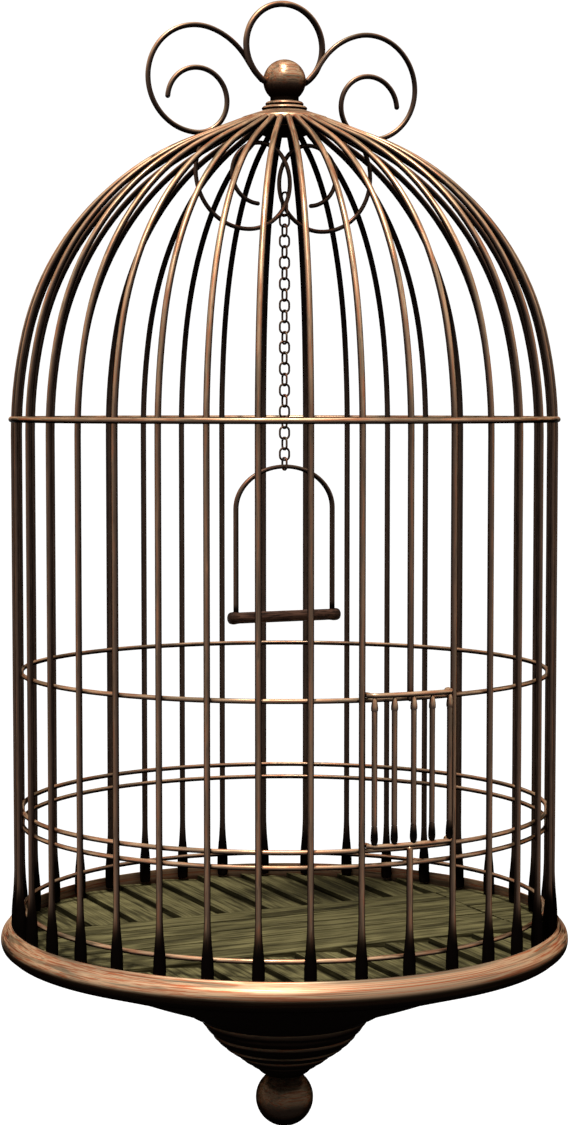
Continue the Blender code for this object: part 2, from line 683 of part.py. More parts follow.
def add_door(metal, cage):
    """Five bars between two rails, whose ends run round the bars beside the doorway."""
    sill = -DOOR_SILL_DROP + RAIL_LIFT
    heights, widths = door_bar_outline()
    built = bmesh.new()
    for angle in DOOR_BAR_ANGLES:
        bar = bmesh.new()
        wire(bar, [(0, up) for up in heights], widths, DOOR_BAR_SIDES)
        mesh = bpy.data.meshes.new("door_bar")
        bar.to_mesh(mesh)
        bar.free()
        place = (DOOR_RADIUS * sine(angle), -DOOR_RADIUS * cosine(angle), 0)
        mesh.transform(Matrix.Translation(place))
        built.from_mesh(mesh)
        bpy.data.meshes.remove(mesh)
    door = placed("door", finished_mesh("door", built), metal, cage, (0, 0, sill))

    built = bmesh.new()
    wire(built, rail_points(), TIE_WIRE, RING_SIDES)
    rail = laid_flat(finished_mesh("door_rails", built))
    both = bmesh.new()
    both.from_mesh(rail)
    rail.transform(Matrix.Translation((0, 0, DOOR_HEIGHT)))
    both.from_mesh(rail)
    bpy.data.meshes.remove(rail)
    rails = helper("door_rails", finished_mesh("door_rails", both), cage, (0, 0, sill))
    combine(door, "UNION", rails)


def add_base(metal, deck_wood, cage):
    """A rolled rim with a shelf inside it, the deck on that shelf, and the turned cone under them."""
    outline = [
        (RIM_INNER_RADIUS + RIM_WIDTH * across, -RIM_CREST_DROP - RIM_DEPTH * down)
        for across, down in zip(RIM_ACROSS_SHARES, RIM_DOWN_SHARES)
    ]
    shelf = -DECK_DROP - DECK_THICKNESS - GAP
    outline += [
        (RIM_INNER_RADIUS - LEDGE_WIDTH, -RIM_LOWER_DROP),
        (RIM_INNER_RADIUS - LEDGE_WIDTH, shelf),
        (RIM_INNER_RADIUS, shelf),
    ]
    placed("base_rim", turned_mesh("base_rim", outline, RIM_STEPS, closed=True), metal, cage)

    radius = RIM_INNER_RADIUS - GAP
    outline = [(0, -DECK_DROP - DECK_THICKNESS), (radius, -DECK_DROP - DECK_THICKNESS)]
    outline += [(radius, -DECK_DROP), (0, -DECK_DROP)]
    placed("deck", turned_mesh("deck", outline, RIM_STEPS), deck_wood, cage)

    slope = math.atan2(PAN_DEPTH, PAN_RADIUS - CONE_RADIUS)
    hollow = [
        (CONE_RADIUS * across, -CONE_DROP - CONE_DEPTH * down)
        for across, down in zip(HOLLOW_ACROSS_SHARES, HOLLOW_DOWN_SHARES)
    ]
    cone = [
        (CONE_RADIUS * across, -CONE_DROP - CONE_DEPTH * down)
        for across, down in zip(CONE_ACROSS_SHARES, CONE_DOWN_SHARES)
    ]
    outline = [*hollow, (PAN_RADIUS - PAN_WALL / math.sin(slope), -PAN_DROP), (PAN_RADIUS, -PAN_DROP)]
    outline += [*cone, *seat_outline(cone[-1][0], -FOOT_BALL_DROP, FOOT_BALL_RADIUS, 1)]
    placed("base_cone", turned_mesh("base_cone", outline, CONE_STEPS), metal, cage)
    placed("foot_ball", ball_mesh("foot_ball", FOOT_BALL_RADIUS), metal, cage, (0, 0, -FOOT_BALL_DROP))


def main():
    clear_scene()
    cage = bpy.data.objects.new("shoulder_level", None)
    bpy.context.scene.collection.objects.link(cage)
    cage.location.z = -HOOK_RISE
    bronze = finish("aged_bronze", (0.30, 0.18, 0.11), 0.38, 1.0)
    dark_bronze = finish("dark_bronze", (0.12, 0.08, 0.06), 0.42, 1.0)
    perch_wood = finish("brown_wood", (0.20, 0.10, 0.05), 0.6, 0.0)
    deck_wood = finish("grey_boards", (0.30, 0.26, 0.17), 0.7, 0.0)

    add_bars(bronze, cage, shoulder_groove(cage))
    add_sill_bar(bronze, cage)
    add_rings(bronze, cage)
    add_crown_hub(bronze, cage)
    placed("crown_ball", ball_mesh("crown_ball", BALL_RADIUS), bronze, cage, (0, 0, BALL_RISE))
    add_hoop_and_scrolls(bronze, cage)
    add_lyre_scrolls(dark_bronze, cage)
    add_swing(bronze, perch_wood, cage, add_chain(dark_bronze, cage))
    add_door(bronze, cage)
    add_base(bronze, deck_wood, cage)


main()
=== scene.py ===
"""Dresses the hanging bird cage in its finished surfaces.

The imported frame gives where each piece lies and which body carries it. Every piece here is made in metres
in that frame: round wire swept along the bars, rings, scrolls and links, turned bronze for the crown and the
base, boards for the floor, and their finishes. The origin is where a hook bears, inside the hoop's top.
"""

import math

import bmesh
import bpy
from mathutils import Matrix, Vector


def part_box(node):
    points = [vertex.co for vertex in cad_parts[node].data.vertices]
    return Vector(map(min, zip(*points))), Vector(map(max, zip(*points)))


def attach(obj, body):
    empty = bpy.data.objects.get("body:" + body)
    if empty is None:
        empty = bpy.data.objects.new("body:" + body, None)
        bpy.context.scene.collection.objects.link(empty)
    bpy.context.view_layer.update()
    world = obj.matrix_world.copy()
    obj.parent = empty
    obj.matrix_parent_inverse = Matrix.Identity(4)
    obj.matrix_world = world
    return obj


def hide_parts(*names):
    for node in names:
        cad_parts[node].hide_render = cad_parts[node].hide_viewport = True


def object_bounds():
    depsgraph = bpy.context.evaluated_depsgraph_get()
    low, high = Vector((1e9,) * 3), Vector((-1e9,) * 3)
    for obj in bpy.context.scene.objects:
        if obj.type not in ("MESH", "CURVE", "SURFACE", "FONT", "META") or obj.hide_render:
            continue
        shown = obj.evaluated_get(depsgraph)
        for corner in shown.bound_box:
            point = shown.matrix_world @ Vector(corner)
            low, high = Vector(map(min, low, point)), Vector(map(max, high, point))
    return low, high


bl_info = {
    "name": "Hanging Bird Cage",
    "version": (1, 0, 0),
    "blender": (4, 5, 0),
    "location": "3D View > Sidebar > Bird Cage",
    "description": "Draws a domed bird cage of bronzed wire around its frame, with its finishes and a stage",
    "category": "Add Mesh",
}

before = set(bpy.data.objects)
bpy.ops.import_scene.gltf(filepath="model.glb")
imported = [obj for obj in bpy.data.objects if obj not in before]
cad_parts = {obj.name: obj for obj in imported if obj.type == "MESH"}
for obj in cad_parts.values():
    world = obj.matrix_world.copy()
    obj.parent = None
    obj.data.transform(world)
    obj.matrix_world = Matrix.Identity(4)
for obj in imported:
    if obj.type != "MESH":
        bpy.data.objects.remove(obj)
cad_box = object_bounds()

QUARTER_TURN = math.pi / 2
FULL_TURN = math.pi * 2
MILLIMETRE = 0.001
CAGE_BODY = "cage"
FINE_STEP = math.radians(3)  # along a wide bow, where the usual step would show

MATH = "ShaderNodeMath"
VECTOR_MATH = "ShaderNodeVectorMath"
STORE = "GeometryNodeStoreNamedAttribute"
READ = "GeometryNodeInputNamedAttribute"

BASE_RADIUS = 0.19  # turns the way round a turned piece into metres
GRAIN_SHIFT = 20.0  # the furthest that a copy's grain is moved along, so that no two copies are alike
SHARP_WIRE, SHARP_TURNING = 40, 32  # degrees past which an edge stays sharp
LAMP_AIM = 0.08  # how far under the shoulder ring the lamps point
BEARING_GAP = 0.0003  # between the door's bars and the bars that they slide past

# What starts each piece's random shift of its grain.
SEEDS = {
    "bar over the door": 3,
    "bar under the door": 5,
    "hoop": 11,
    "scroll": 13,
    "inner scroll": 17,
    "link": 23,
    "bail": 29,
    "door bar": 31,
    "door rail": 37,
    "board": 41,
}


def middle(node):
    low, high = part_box(node)
    return (low + high) / 2


SHOULDER = middle("shoulder_ring").z
BAR_NODES = [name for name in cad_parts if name.startswith("bar_")]


# Properties


def linear(code):
    """The linear red, green and blue of an sRGB hex colour."""
    parts = [int(code[start : start + 2], 16) / 255 for start in (1, 3, 5)]
    return tuple(part / 12.92 if part <= 0.04045 else ((part + 0.055) / 1.055) ** 2.4 for part in parts)


def size(label, note, millimetres):
    return bpy.props.FloatProperty(
        name=label, description=note, default=millimetres * MILLIMETRE, min=0, unit="LENGTH", precision=4
    )


def angle(label, note, degrees):
    return bpy.props.FloatProperty(
        name=label, description=note, default=math.radians(degrees), subtype="ANGLE"
    )


def measure(label, note, value):
    return bpy.props.FloatProperty(name=label, description=note, default=value, min=0)


def number(label, note, value):
    return bpy.props.IntProperty(name=label, description=note, default=value, min=1)


def colour(label, note, code):
    return bpy.props.FloatVectorProperty(
        name=label, description=note, default=linear(code), size=3, min=0, max=1, subtype="COLOR"
    )


class BarSizes(bpy.types.PropertyGroup):
    """The bars, which rise from the floor and bend in to the crown"""

    count: number("Bars", "How many bars stand round the cage", 36)
    width: size("Width", "Diameter of a bar", 4.2)
    radius: size("Circle", "Radius of the circle that the bars stand on", 186.5)
    drop: size("Bend line", "How far under the shoulder ring the bars start to bend in", 10)
    shoulder_bend: size("Shoulder bend", "Radius of a bar's first, gentle bend", 302)
    shoulder_turn: angle("Shoulder turn", "How far that bend turns", 13.4)
    bend: size("Bend", "Radius of the dome's bend", 186.3)
    slope: angle("Crown slope", "Slope of a bar's last straight run", 21.3)
    top_radius: size("Tip circle", "Radius of the circle where the bars end in the cap", 28)
    foot_width: size("Foot width", "Diameter of the flare at a bar's foot", 8.2)
    foot_height: size("Foot height", "Height of the flare over the floor", 44.2)
    sides: number("Sides", "Faces round a bar", 18)


class RingSizes(bpy.types.PropertyGroup):
    """The rings that tie the bars"""

    shoulder_wire: size("Shoulder wire", "Diameter of the ring at the shoulder", 4.05)
    shoulder_seat: size("Shoulder seat", "How far that ring's centre lies outside the bars' circle", 1.6)
    tie_wire: size("Tie wire", "Diameter of the other rings", 3.3)
    steps: number("Steps", "Stretches round a ring", 180)
    sides: number("Sides", "Faces round a ring's wire", 16)


class CrownSizes(bpy.types.PropertyGroup):
    """The turned crown and the ball on it"""

    neck_radius: size("Neck", "Radius of the neck that the ball sits in", 9.8)
    upper_bead: size("Upper bead", "Radius of the upper bead", 13.2)
    upper_drop: size("Upper bead's place", "From the ball's centre down to the upper bead's middle", 15.6)
    lower_bead: size("Lower bead", "Radius of the lower bead", 15.7)
    lower_drop: size("Lower bead's place", "From the ball's centre down to the lower bead's middle", 18.7)
    bead_height: size("Bead height", "Height of each bead", 2.7)
    cap_radius: size("Cap", "Radius of the cap that the bars run into", 31)
    hub_radius: size("Hub", "Radius of the dark hub under the bars", 17.2)
    ball_radius: size("Ball", "Radius of the ball", 14.7)
    steps: number("Steps", "Faces round the turned pieces", 72)


class HangerSizes(bpy.types.PropertyGroup):
    """The hoop and the two scrolls beside it"""

    hoop_wire: size("Hoop wire", "Diameter of the hoop's wire", 4.4)
    hoop_radius: size("Hoop", "Radius of the hoop's centreline", 28.7)
    hoop_start: angle("Hoop start", "Where the hoop leaves the ball, round its own centre", -62)
    wire: size("Scroll wire", "Diameter of the scrolls' wire", 3.6)
    reach: size("Reach", "From the axis to a scroll's centre", 63)
    drop: size("Drop", "From the ball's centre down to a scroll's centre", 15.6)
    curl: size("Curl", "Radius of a scroll's inner curl", 21.8)
    bow: size("Bow", "Radius of a scroll's outer bow", 36)
    bow_turn: angle("Bow turn", "How far the bow turns", 195)
    shoulder: size("Shoulder", "Radius of the scroll's last curve", 48)
    shoulder_turn: angle("Shoulder turn", "How far that curve turns", 42)
    tail: size("Tail", "Radius of the tail that runs down to the ball", 70)
    tail_turn: angle("Tail turn", "How far the tail turns back", -12)
    sides: number("Sides", "Faces round a scroll's wire", 18)


class LyreSizes(bpy.types.PropertyGroup):
    """The two scrolls under the dome that carry the chain"""

    wire: size("Wire", "Diameter of the wire", 3.0)
    reach: size("Reach", "From the axis to the centre of the wide bow", 28.5)
    rise: size("Rise", "Height of that centre over the shoulder ring", 168.4)
    wide_bow: size("Wide bow", "Radius of the bow that starts under a bar", 38.5)
    bow: size("Bow", "Radius of the next bow, which crosses the other scroll", 31.8)
    bow_turn: angle("Bow turn", "How far that bow turns", 125)
    curl: size("Curl", "Radius of the inner curl", 20.7)
    curl_turn: angle("Curl turn", "How far the curl turns", 235)


class ChainSizes(bpy.types.PropertyGroup):
    """The chain's links"""

    wire: size("Wire", "Diameter of a link's wire", 1.5)
    corner: size("Corner", "Radius of a link's corners", 2.9)
    top_height: size("Top link", "Height of the long link that holds the inner scrolls", 17.6)
    upper_links: number("Upper links", "Links of the upper run", 11)
    lower_links: number("Lower links", "Links of the lower run", 11)
    sides: number("Sides", "Faces round a link's wire", 10)


class SwingSizes(bpy.types.PropertyGroup):
    """The swing's bail and perch"""

    wire: size("Wire", "Diameter of the bail's wire under the chain", 2.9)
    leg_wire: size("Leg wire", "Diameter of the bail's legs", 3.7)
    half_width: size("Half width", "From the axis to a leg of the bail", 36.9)
    arch: size("Arch", "Height of the bail's arch", 29)
    perch_width: size("Perch width", "Diameter of the perch", 8.3)


class DoorSizes(bpy.types.PropertyGroup):
    """The sliding door"""

    count: number("Bars", "Bars of the door", 5)
    step: angle("Step", "Between two bars, round the cage's axis", 4)
    width: size("Width", "Diameter of a bar", 3.7)
    tip_width: size("Tip width", "Diameter of the swelling under a bar's tip", 4.5)
    tip_height: size("Tip height", "From the swelling to the tip", 10.7)
    knob_width: size("Knob width", "Diameter of the knob at a bar's foot", 4.7)
    knob_height: size("Knob height", "Height of that knob", 12)
    rail_wire: size("Rail wire", "Diameter of the two rails", 3.3)
    eye_gap: size("Eye gap", "Between a rail's eye and the bar that it slides on", 0.5)


class BaseSizes(bpy.types.PropertyGroup):
    """The turned base under the floor"""

    rim_inner: size("Rim inner radius", "Radius inside the rim", 190.8)
    rim_width: size("Rim width", "Width of the rim", 7.2)
    pan_radius: size("Pan radius", "Radius of the shallow pan under the rim", 193)
    cone_radius: size("Cone radius", "Radius of the stepped cone where it leaves the pan", 72)
    cone_depth: size("Cone depth", "Height of the stepped cone", 49.6)
    wall: size("Wall", "Thickness of the rim's and the pan's metal", 2.2)
    ball_radius: size("Ball", "Radius of the ball at the bottom", 20.3)
    steps: number("Steps", "Faces round the turned pieces", 216)


class BoardSizes(bpy.types.PropertyGroup):
    """The floor's boards"""

    wide: size("Wide boards", "Width of the boards at the front and the back", 34)
    narrow: size("Narrow boards", "Width of the boards across the middle", 26.4)
    front_joint: size("Front joint", "From the axis to the joint in front of the middle boards", 75)
    back_joint: size("Back joint", "From the axis to the joint behind the middle boards", 57)
    side_joint: size("Side joint", "From the axis to the joint at the middle boards' right end", 150)
    thickness: size("Thickness", "Thickness of a board", 5)
    gap: size("Gap", "Between two boards", 1.6)
    unevenness: size("Unevenness", "How much the boards' heights differ", 0.5)
    raggedness: size("Raggedness", "How much the boards' ends differ", 2.2)
    tilt: angle("Tilt", "How far the boards at the front and the back lean on each other", 5.0)


class FinishColours(bpy.types.PropertyGroup):
    """The colours of the finishes"""

    # Copper is the ground that the painted light leaves bare on top; sable and the darkest patina colour also
    # paint shade on the sides, underneath and inside.
    copper: colour("Copper", "The bronzed wire where it is rubbed bright", "#D8B08A")
    ember: colour("Ember", "The red copper that shows in streaks", "#B8643E")
    verdigris: colour("Verdigris", "The grey green bloom between the streaks", "#857A62")
    tarnish_and_painted_shade: colour("Tarnish", "The darkest patina", "#120D0B")
    sable: colour("Sable", "The dark brown that the sides keep", "#4E3D33")
    edge: colour("Edge", "The metal's tint where it is seen edge on", "#1E1814")
    umber: colour("Umber", "The bronze of the inner scrolls and the chain", "#6E5646")
    perch_light: colour("Perch light", "The perch's light grain", "#6F4E3E")
    perch_dark: colour("Perch dark", "The perch's dark grain", "#2A1C15")
    board_light: colour("Board light", "The boards' worn grain", "#887E54")
    board_dark: colour("Board dark", "The boards' dark grain", "#2B2616")
    # The boards' dirt colour also paints the shade in the joints between boards.
    board_dirt_and_shade: colour("Board dirt", "The dirt along the boards' low edges", "#14120A")
    backdrop: colour("Backdrop", "The floor and the wall behind, apart from their own white", "#8E8E8C")


class StageSizes(bpy.types.PropertyGroup):
    """The floor, the lamps and the camera"""

    drop: size("Drop", "From the cage's lowest point down to the floor", 450)
    width: size("Width", "Half the floor's width", 6000)
    camera_azimuth: angle("Camera azimuth", "Round the cage, from the door's side", -25)
    camera_tilt: angle("Camera tilt", "How far the camera looks down", 3.8031)
    camera_distance: size("Camera distance", "From the cage's axis, level", 1635.9)
    camera_level: size("Camera level", "Height over the shoulder ring", 9.2)
    camera_lens: measure("Lens", "Focal length in millimetres", 75.4)
    key_azimuth: angle("Key azimuth", "Round the cage, from the door's side", -41.6)
    key_elevation: angle("Key elevation", "How high the key lamp stands", 76.5)
    key_distance: size("Key distance", "From the cage's middle to the key lamp", 4000)
    key_size: size("Key size", "Width of the key lamp", 160)
    key_power: measure("Key power", "Of the key lamp, in watts", 145)
    front_azimuth: angle("Front azimuth", "Round the cage, from the door's side", -33)
    front_elevation: angle("Front elevation", "How high the front lamp stands", 59.7)
    front_distance: size("Front distance", "From the cage's middle to the front lamp", 1720)
    front_size: size("Front size", "Width of the front lamp", 220)
    front_power: measure("Front power", "Of the front lamp, in watts", 7)
    ambient: measure("Ambient", "Strength of the even light", 0.06)
    glow: measure("Glow", "Of the floor's own white, under the cage", 0.8)
    shadow_reach: size("Shadow reach", "From the axis to where the floor is plain white", 1100)


class CageSettings(bpy.types.PropertyGroup):
    """All the sizes and colours of the cage"""

    bars: bpy.props.PointerProperty(type=BarSizes)
    rings: bpy.props.PointerProperty(type=RingSizes)
    crown: bpy.props.PointerProperty(type=CrownSizes)
    hanger: bpy.props.PointerProperty(type=HangerSizes)
    lyre: bpy.props.PointerProperty(type=LyreSizes)
    chain: bpy.props.PointerProperty(type=ChainSizes)
    swing: bpy.props.PointerProperty(type=SwingSizes)
    door: bpy.props.PointerProperty(type=DoorSizes)
    base: bpy.props.PointerProperty(type=BaseSizes)
    boards: bpy.props.PointerProperty(type=BoardSizes)
    colours: bpy.props.PointerProperty(type=FinishColours)
    stage: bpy.props.PointerProperty(type=StageSizes)


# Nodes and finishes


def add_node(tree, kind, inputs=(), **settings):
    """Adds a node. Settings are its own, and inputs are values or sockets, by an input's name or number."""
    made = tree.nodes.new(kind)
    for name, value in settings.items():
        setattr(made, name, value)
    for key, value in dict(inputs).items():
        if isinstance(value, bpy.types.NodeSocket):
            tree.links.new(value, made.inputs[key])
        else:
            made.inputs[key].default_value = value
    return made


def new_finish(name):
    """An empty material, its tree, and its Principled shader, which is joined to the output."""
    made = bpy.data.materials.new(name)
    made.use_nodes = True
    return made, made.node_tree, made.node_tree.nodes["Principled BSDF"]


def wire_grain(tree):
    """Where a point lies in its wire or board: across it in the first two numbers, along it in the third."""
    return add_node(tree, "ShaderNodeAttribute", attribute_name="grain").outputs["Vector"]


def lathe_grain(tree):
    """The same for a turned piece, whose streaks run round the axis: radius, height and the way round."""
    place = add_node(tree, "ShaderNodeTexCoord").outputs["Object"]
    level = add_node(tree, VECTOR_MATH, {0: place, 1: (1, 1, 0)}, operation="MULTIPLY").outputs[0]
    radius = add_node(tree, VECTOR_MATH, {0: level}, operation="LENGTH").outputs["Value"]
    parts = add_node(tree, "ShaderNodeSeparateXYZ", {0: place}).outputs
    turn = add_node(tree, MATH, {0: parts["Y"], 1: parts["X"]}, operation="ARCTAN2").outputs[0]
    # The way round is folded at the back, so that the streaks meet there.
    folded = add_node(tree, MATH, {0: turn}, operation="SINE").outputs[0]
    round_way = add_node(tree, MATH, {0: folded, 1: BASE_RADIUS}, operation="MULTIPLY").outputs[0]
    return add_node(tree, "ShaderNodeCombineXYZ", {"X": radius, "Y": parts["Z"], "Z": round_way}).outputs[0]


def streaks(tree, grain, across, along, detail, distortion=0.0):
    """Noise drawn out along the grain. The two sizes are one streak's, in millimetres."""
    thin, long = 1 / (across * MILLIMETRE), 1 / (along * MILLIMETRE)
    scaled = add_node(tree, VECTOR_MATH, {0: grain, 1: (thin, thin, long)}, operation="MULTIPLY").outputs[0]
    noise = {"Vector": scaled, "Scale": 1.0, "Detail": detail, "Distortion": distortion}
    return add_node(tree, "ShaderNodeTexNoise", noise).outputs["Fac"]


def opaque(shade):
    return (*shade, 1.0)


def coats(tree, ground, *layers):
    """Lays coats of colour over a ground, where the value of a pattern lets them show.

    A layer is a pattern, the value where it is bare and the one where it is full, how much shows there, and
    its colour.
    """
    shade = opaque(ground)
    for pattern, bare, full, most, coat in layers:
        shown_part = add_node(
            tree,
            "ShaderNodeMapRange",
            {"Value": pattern, "From Min": bare, "From Max": full, "To Min": 0.0, "To Max": most},
            interpolation_type="SMOOTHSTEP",
        ).outputs[0]
        mixed = add_node(tree, "ShaderNodeMix", {0: shown_part, 6: shade, 7: opaque(coat)}, data_type="RGBA")
        shade = mixed.outputs[2]
    return shade


def with_painted_shade(tree, shade, dark):
    """The colour, darkened as far as the piece's own darkening says, mostly painted shade, and that amount.
    """
    amount = add_node(tree, "ShaderNodeAttribute", attribute_name="tarnish_and_painted_shade").outputs["Fac"]
    mixed = add_node(tree, "ShaderNodeMix", {0: amount, 6: shade, 7: opaque(dark)}, data_type="RGBA")
    return mixed.outputs[2], amount


def varied(tree, socket, pattern, start, end, at_start, at_end):
    """Moves a socket's number smoothly from one value to another, as the pattern goes from start to end."""
    spread = {"Value": pattern, "From Min": start, "From Max": end, "To Min": at_start, "To Max": at_end}
    made = add_node(tree, "ShaderNodeMapRange", spread, interpolation_type="SMOOTHSTEP")
    tree.links.new(made.outputs[0], socket)


def surfaced(tree, shader, shade, relief, strength, depth):
    """Gives a finish its colour and the relief of its grain, this many metres deep."""
    tree.links.new(shade, shader.inputs["Base Color"])
    bump = add_node(tree, "ShaderNodeBump", {"Height": relief, "Strength": strength, "Distance": depth})
    tree.links.new(bump.outputs[0], shader.inputs["Normal"])


def painted_light_facing(tree):
    """How far a face is turned up and out, for painted light and shade: 1 or more on top, under 0 underneath.

    The side that faces the axis counts a little, between the bars, so that insides are painted darker than
    outsides.
    """
    given = add_node(tree, "ShaderNodeTexCoord").outputs
    up = add_node(tree, "ShaderNodeSeparateXYZ", {0: given["Normal"]}).outputs["Z"]
    level = add_node(tree, VECTOR_MATH, {0: given["Object"], 1: (1, 1, 0)}, operation="MULTIPLY").outputs[0]
    outward = add_node(tree, VECTOR_MATH, {0: level}, operation="NORMALIZE").outputs[0]
    both = {0: given["Normal"], 1: outward}
    out = add_node(tree, VECTOR_MATH, both, operation="DOT_PRODUCT").outputs["Value"]
    outer = add_node(tree, MATH, {0: out, 1: 0.5}, operation="MULTIPLY").outputs[0]
    inner = add_node(tree, MATH, {0: out, 1: -0.12}, operation="MULTIPLY").outputs[0]
    turned_out = add_node(tree, MATH, {0: outer, 1: inner}, operation="MAXIMUM").outputs[0]
    return add_node(tree, MATH, {0: turned_out, 1: up}, operation="ADD").outputs[0]


def bronzed_steel(name, colours, grain_of, ground, wear_and_painted_light_reach=0.0, embers=0.8, dullness=0.0):
    """Copper bronze rubbed over blackened steel, with streaks that run with the draw of the wire.

    A soft gloss lies over a tan that goes redder and greener in long, thin streaks, drawn 0.8 mm wide because
    the real draw marks are too fine to show. The bronze is lighter on top, brown on the sides and near black
    underneath and inside: a little of it wear, most of it painted light and shade by which way a face turns.
    """
    made, tree, shader = new_finish(name)
    grain = grain_of(tree)
    fine = streaks(tree, grain, 0.8, 16, 4.0, 0.3)
    broad = streaks(tree, grain, 2.6, 46, 3.0, 0.6)
    patches = streaks(tree, grain, 6.0, 90, 2.0)
    # Painted light and shade by which way a face turns, made uneven by the fine streaks like wear.
    uneven = {0: fine, 1: 0.4, 2: painted_light_facing(tree)}
    wear_and_painted_light = add_node(tree, MATH, uneven, operation="MULTIPLY_ADD").outputs[0]
    shade = coats(
        tree,
        ground,
        (fine, 0.46, 0.60, embers, colours.ember),
        (broad, 0.45, 0.68, 0.4, ground),
        (broad, 0.50, 0.36, 0.7, colours.verdigris),
        (fine, 0.42, 0.30, 0.6, colours.sable),
        (patches, 0.56, 0.40, 0.35, colours.sable),
        # Painted shade: sable on the sides, then the darkest colour underneath and inside, worn through on
        # top.
        (wear_and_painted_light, 1.05 - wear_and_painted_light_reach, 0.53 - wear_and_painted_light_reach, 1.0, colours.sable),
        (wear_and_painted_light, 0.55 - wear_and_painted_light_reach, 0.02 - wear_and_painted_light_reach, 1.0, colours.tarnish_and_painted_shade),
    )
    # Each piece's own darkening lies over that: patina in part, mostly painted shade.
    shade, patina_and_painted_shade = with_painted_shade(tree, shade, colours.tarnish_and_painted_shade)
    surfaced(tree, shader, shade, fine, 0.25, 0.00015)
    # Patina and painted shade are no metal, so the places they darken hardly mirror the room.
    varied(tree, shader.inputs["Metallic"], patina_and_painted_shade, 0.3, 1.0, 0.6, 0.0)
    varied(tree, shader.inputs["Roughness"], broad, 0.3, 0.7, 0.28 + dullness, 0.42 + dullness)
    shader.inputs["Specular IOR Level"].default_value = 0.0
    shader.inputs["Specular Tint"].default_value = opaque(colours.edge)
    return made


def turned_hardwood(name, colours):
    """A perch of brown hardwood, turned and oiled: dull, with dark grain along it."""
    made, tree, shader = new_finish(name)
    place = add_node(tree, "ShaderNodeTexCoord").outputs["Object"]
    parts = add_node(tree, "ShaderNodeSeparateXYZ", {0: place}).outputs
    lengthwise = {"X": parts["Y"], "Y": parts["Z"], "Z": parts["X"]}
    grain = add_node(tree, "ShaderNodeCombineXYZ", lengthwise).outputs[0]
    fine = streaks(tree, grain, 1.1, 14, 5.0, 0.5)
    knots = streaks(tree, grain, 3.2, 12, 3.0, 1.0)
    dark = colours.perch_dark
    shade = coats(tree, colours.perch_light, (fine, 0.65, 0.35, 1.0, dark), (knots, 0.60, 0.74, 0.8, dark))
    # The piece's own painted shade darkens it at the tips.
    shade, _ = with_painted_shade(tree, shade, dark)
    surfaced(tree, shader, shade, fine, 0.5, 0.0003)
    varied(tree, shader.inputs["Roughness"], fine, 0.3, 0.7, 0.45, 0.65)
    shader.inputs["Specular IOR Level"].default_value = 0.05
    return made


def weathered_boards(name, colours):
    """Softwood boards gone olive and grey outdoors: sawn, dull, with raised grain and dirty edges, darkened
    further as painted shade.
    """
    made, tree, shader = new_finish(name)
    grain = wire_grain(tree)
    fine = streaks(tree, grain, 1.0, 30, 5.0, 0.2)
    broad = streaks(tree, grain, 5.0, 60, 3.0, 0.8)
    tone = add_node(tree, "ShaderNodeAttribute", attribute_name="tone").outputs["Fac"]
    across = add_node(tree, "ShaderNodeSeparateXYZ", {0: grain}).outputs["X"]
    aside = add_node(tree, MATH, {0: across}, operation="ABSOLUTE").outputs[0]
    dark = colours.board_dark
    shade = coats(
        tree,
        colours.board_light,
        (broad, 0.62, 0.34, 0.8, dark),
        (fine, 0.56, 0.38, 0.5, dark),
        (tone, 0.0, 1.0, 0.6, dark),
        # Dirt and painted shade along both long edges of each board, where the joints lie.
        (aside, 0.0152, 0.0166, 0.9, colours.board_dirt_and_shade),
    )
    surfaced(tree, shader, shade, fine, 0.6, 0.0005)
    shader.inputs["Roughness"].default_value = 0.8
    shader.inputs["Specular IOR Level"].default_value = 0.02
    return made


def finish(name):
    """The finish of this name, made when it is first asked for."""
    found = bpy.data.materials.get(name)
    if found:
        return found
    colours = bpy.context.scene.bird_cage.colours
    # The way of the grain, the ground, how far its wear and painted light reach, how red its streaks are and
    # how dull it is.
    bronzes = {
        # Drawn wire: tan on top and near black underneath and behind, partly wear, mostly painted light and
        # shade, with streaks along it.
        "bronzed wire": (wire_grain, colours.copper),
        # The same under a browner patina, which keeps it behind the bars to the eye.
        "dark bronzed wire": (wire_grain, colours.umber),
        # Turned on a lathe, so that its streaks and its light run round it.
        "bronzed turning": (lathe_grain, colours.copper, 0.15, 0.9),
        # Rubbed by hands all along its top, and its painted light reaches furthest down: the brightest
        # bronze, with a wide, soft shine.
        "bronzed rim": (lathe_grain, colours.copper, 0.55, 1.0, 0.08),
        # Polished harder than the rest, so that its light is small and clear.
        "burnished ball": (lathe_grain, colours.copper, 0.15, 1.0, -0.08),
    }
    if name in bronzes:
        return bronzed_steel(name, colours, *bronzes[name])
    woods = {"turned hardwood": turned_hardwood, "weathered boards": weathered_boards}
    return woods[name](name, colours)


# Geometry Nodes trees


def new_tree(name, kinds):
    """A tree, its inputs, which kinds names with the kind of each, and its one mesh output."""
    tree = bpy.data.node_groups.new(name, "GeometryNodeTree")
    tree.is_modifier = True
    for label, kind in {"Geometry": "Geometry", **kinds}.items():
        tree.interface.new_socket(label, in_out="INPUT", socket_type=f"NodeSocket{kind}")
    tree.interface.new_socket("Geometry", in_out="OUTPUT", socket_type="NodeSocketGeometry")
    return tree, add_node(tree, "NodeGroupInput").outputs, add_node(tree, "NodeGroupOutput").inputs[0]


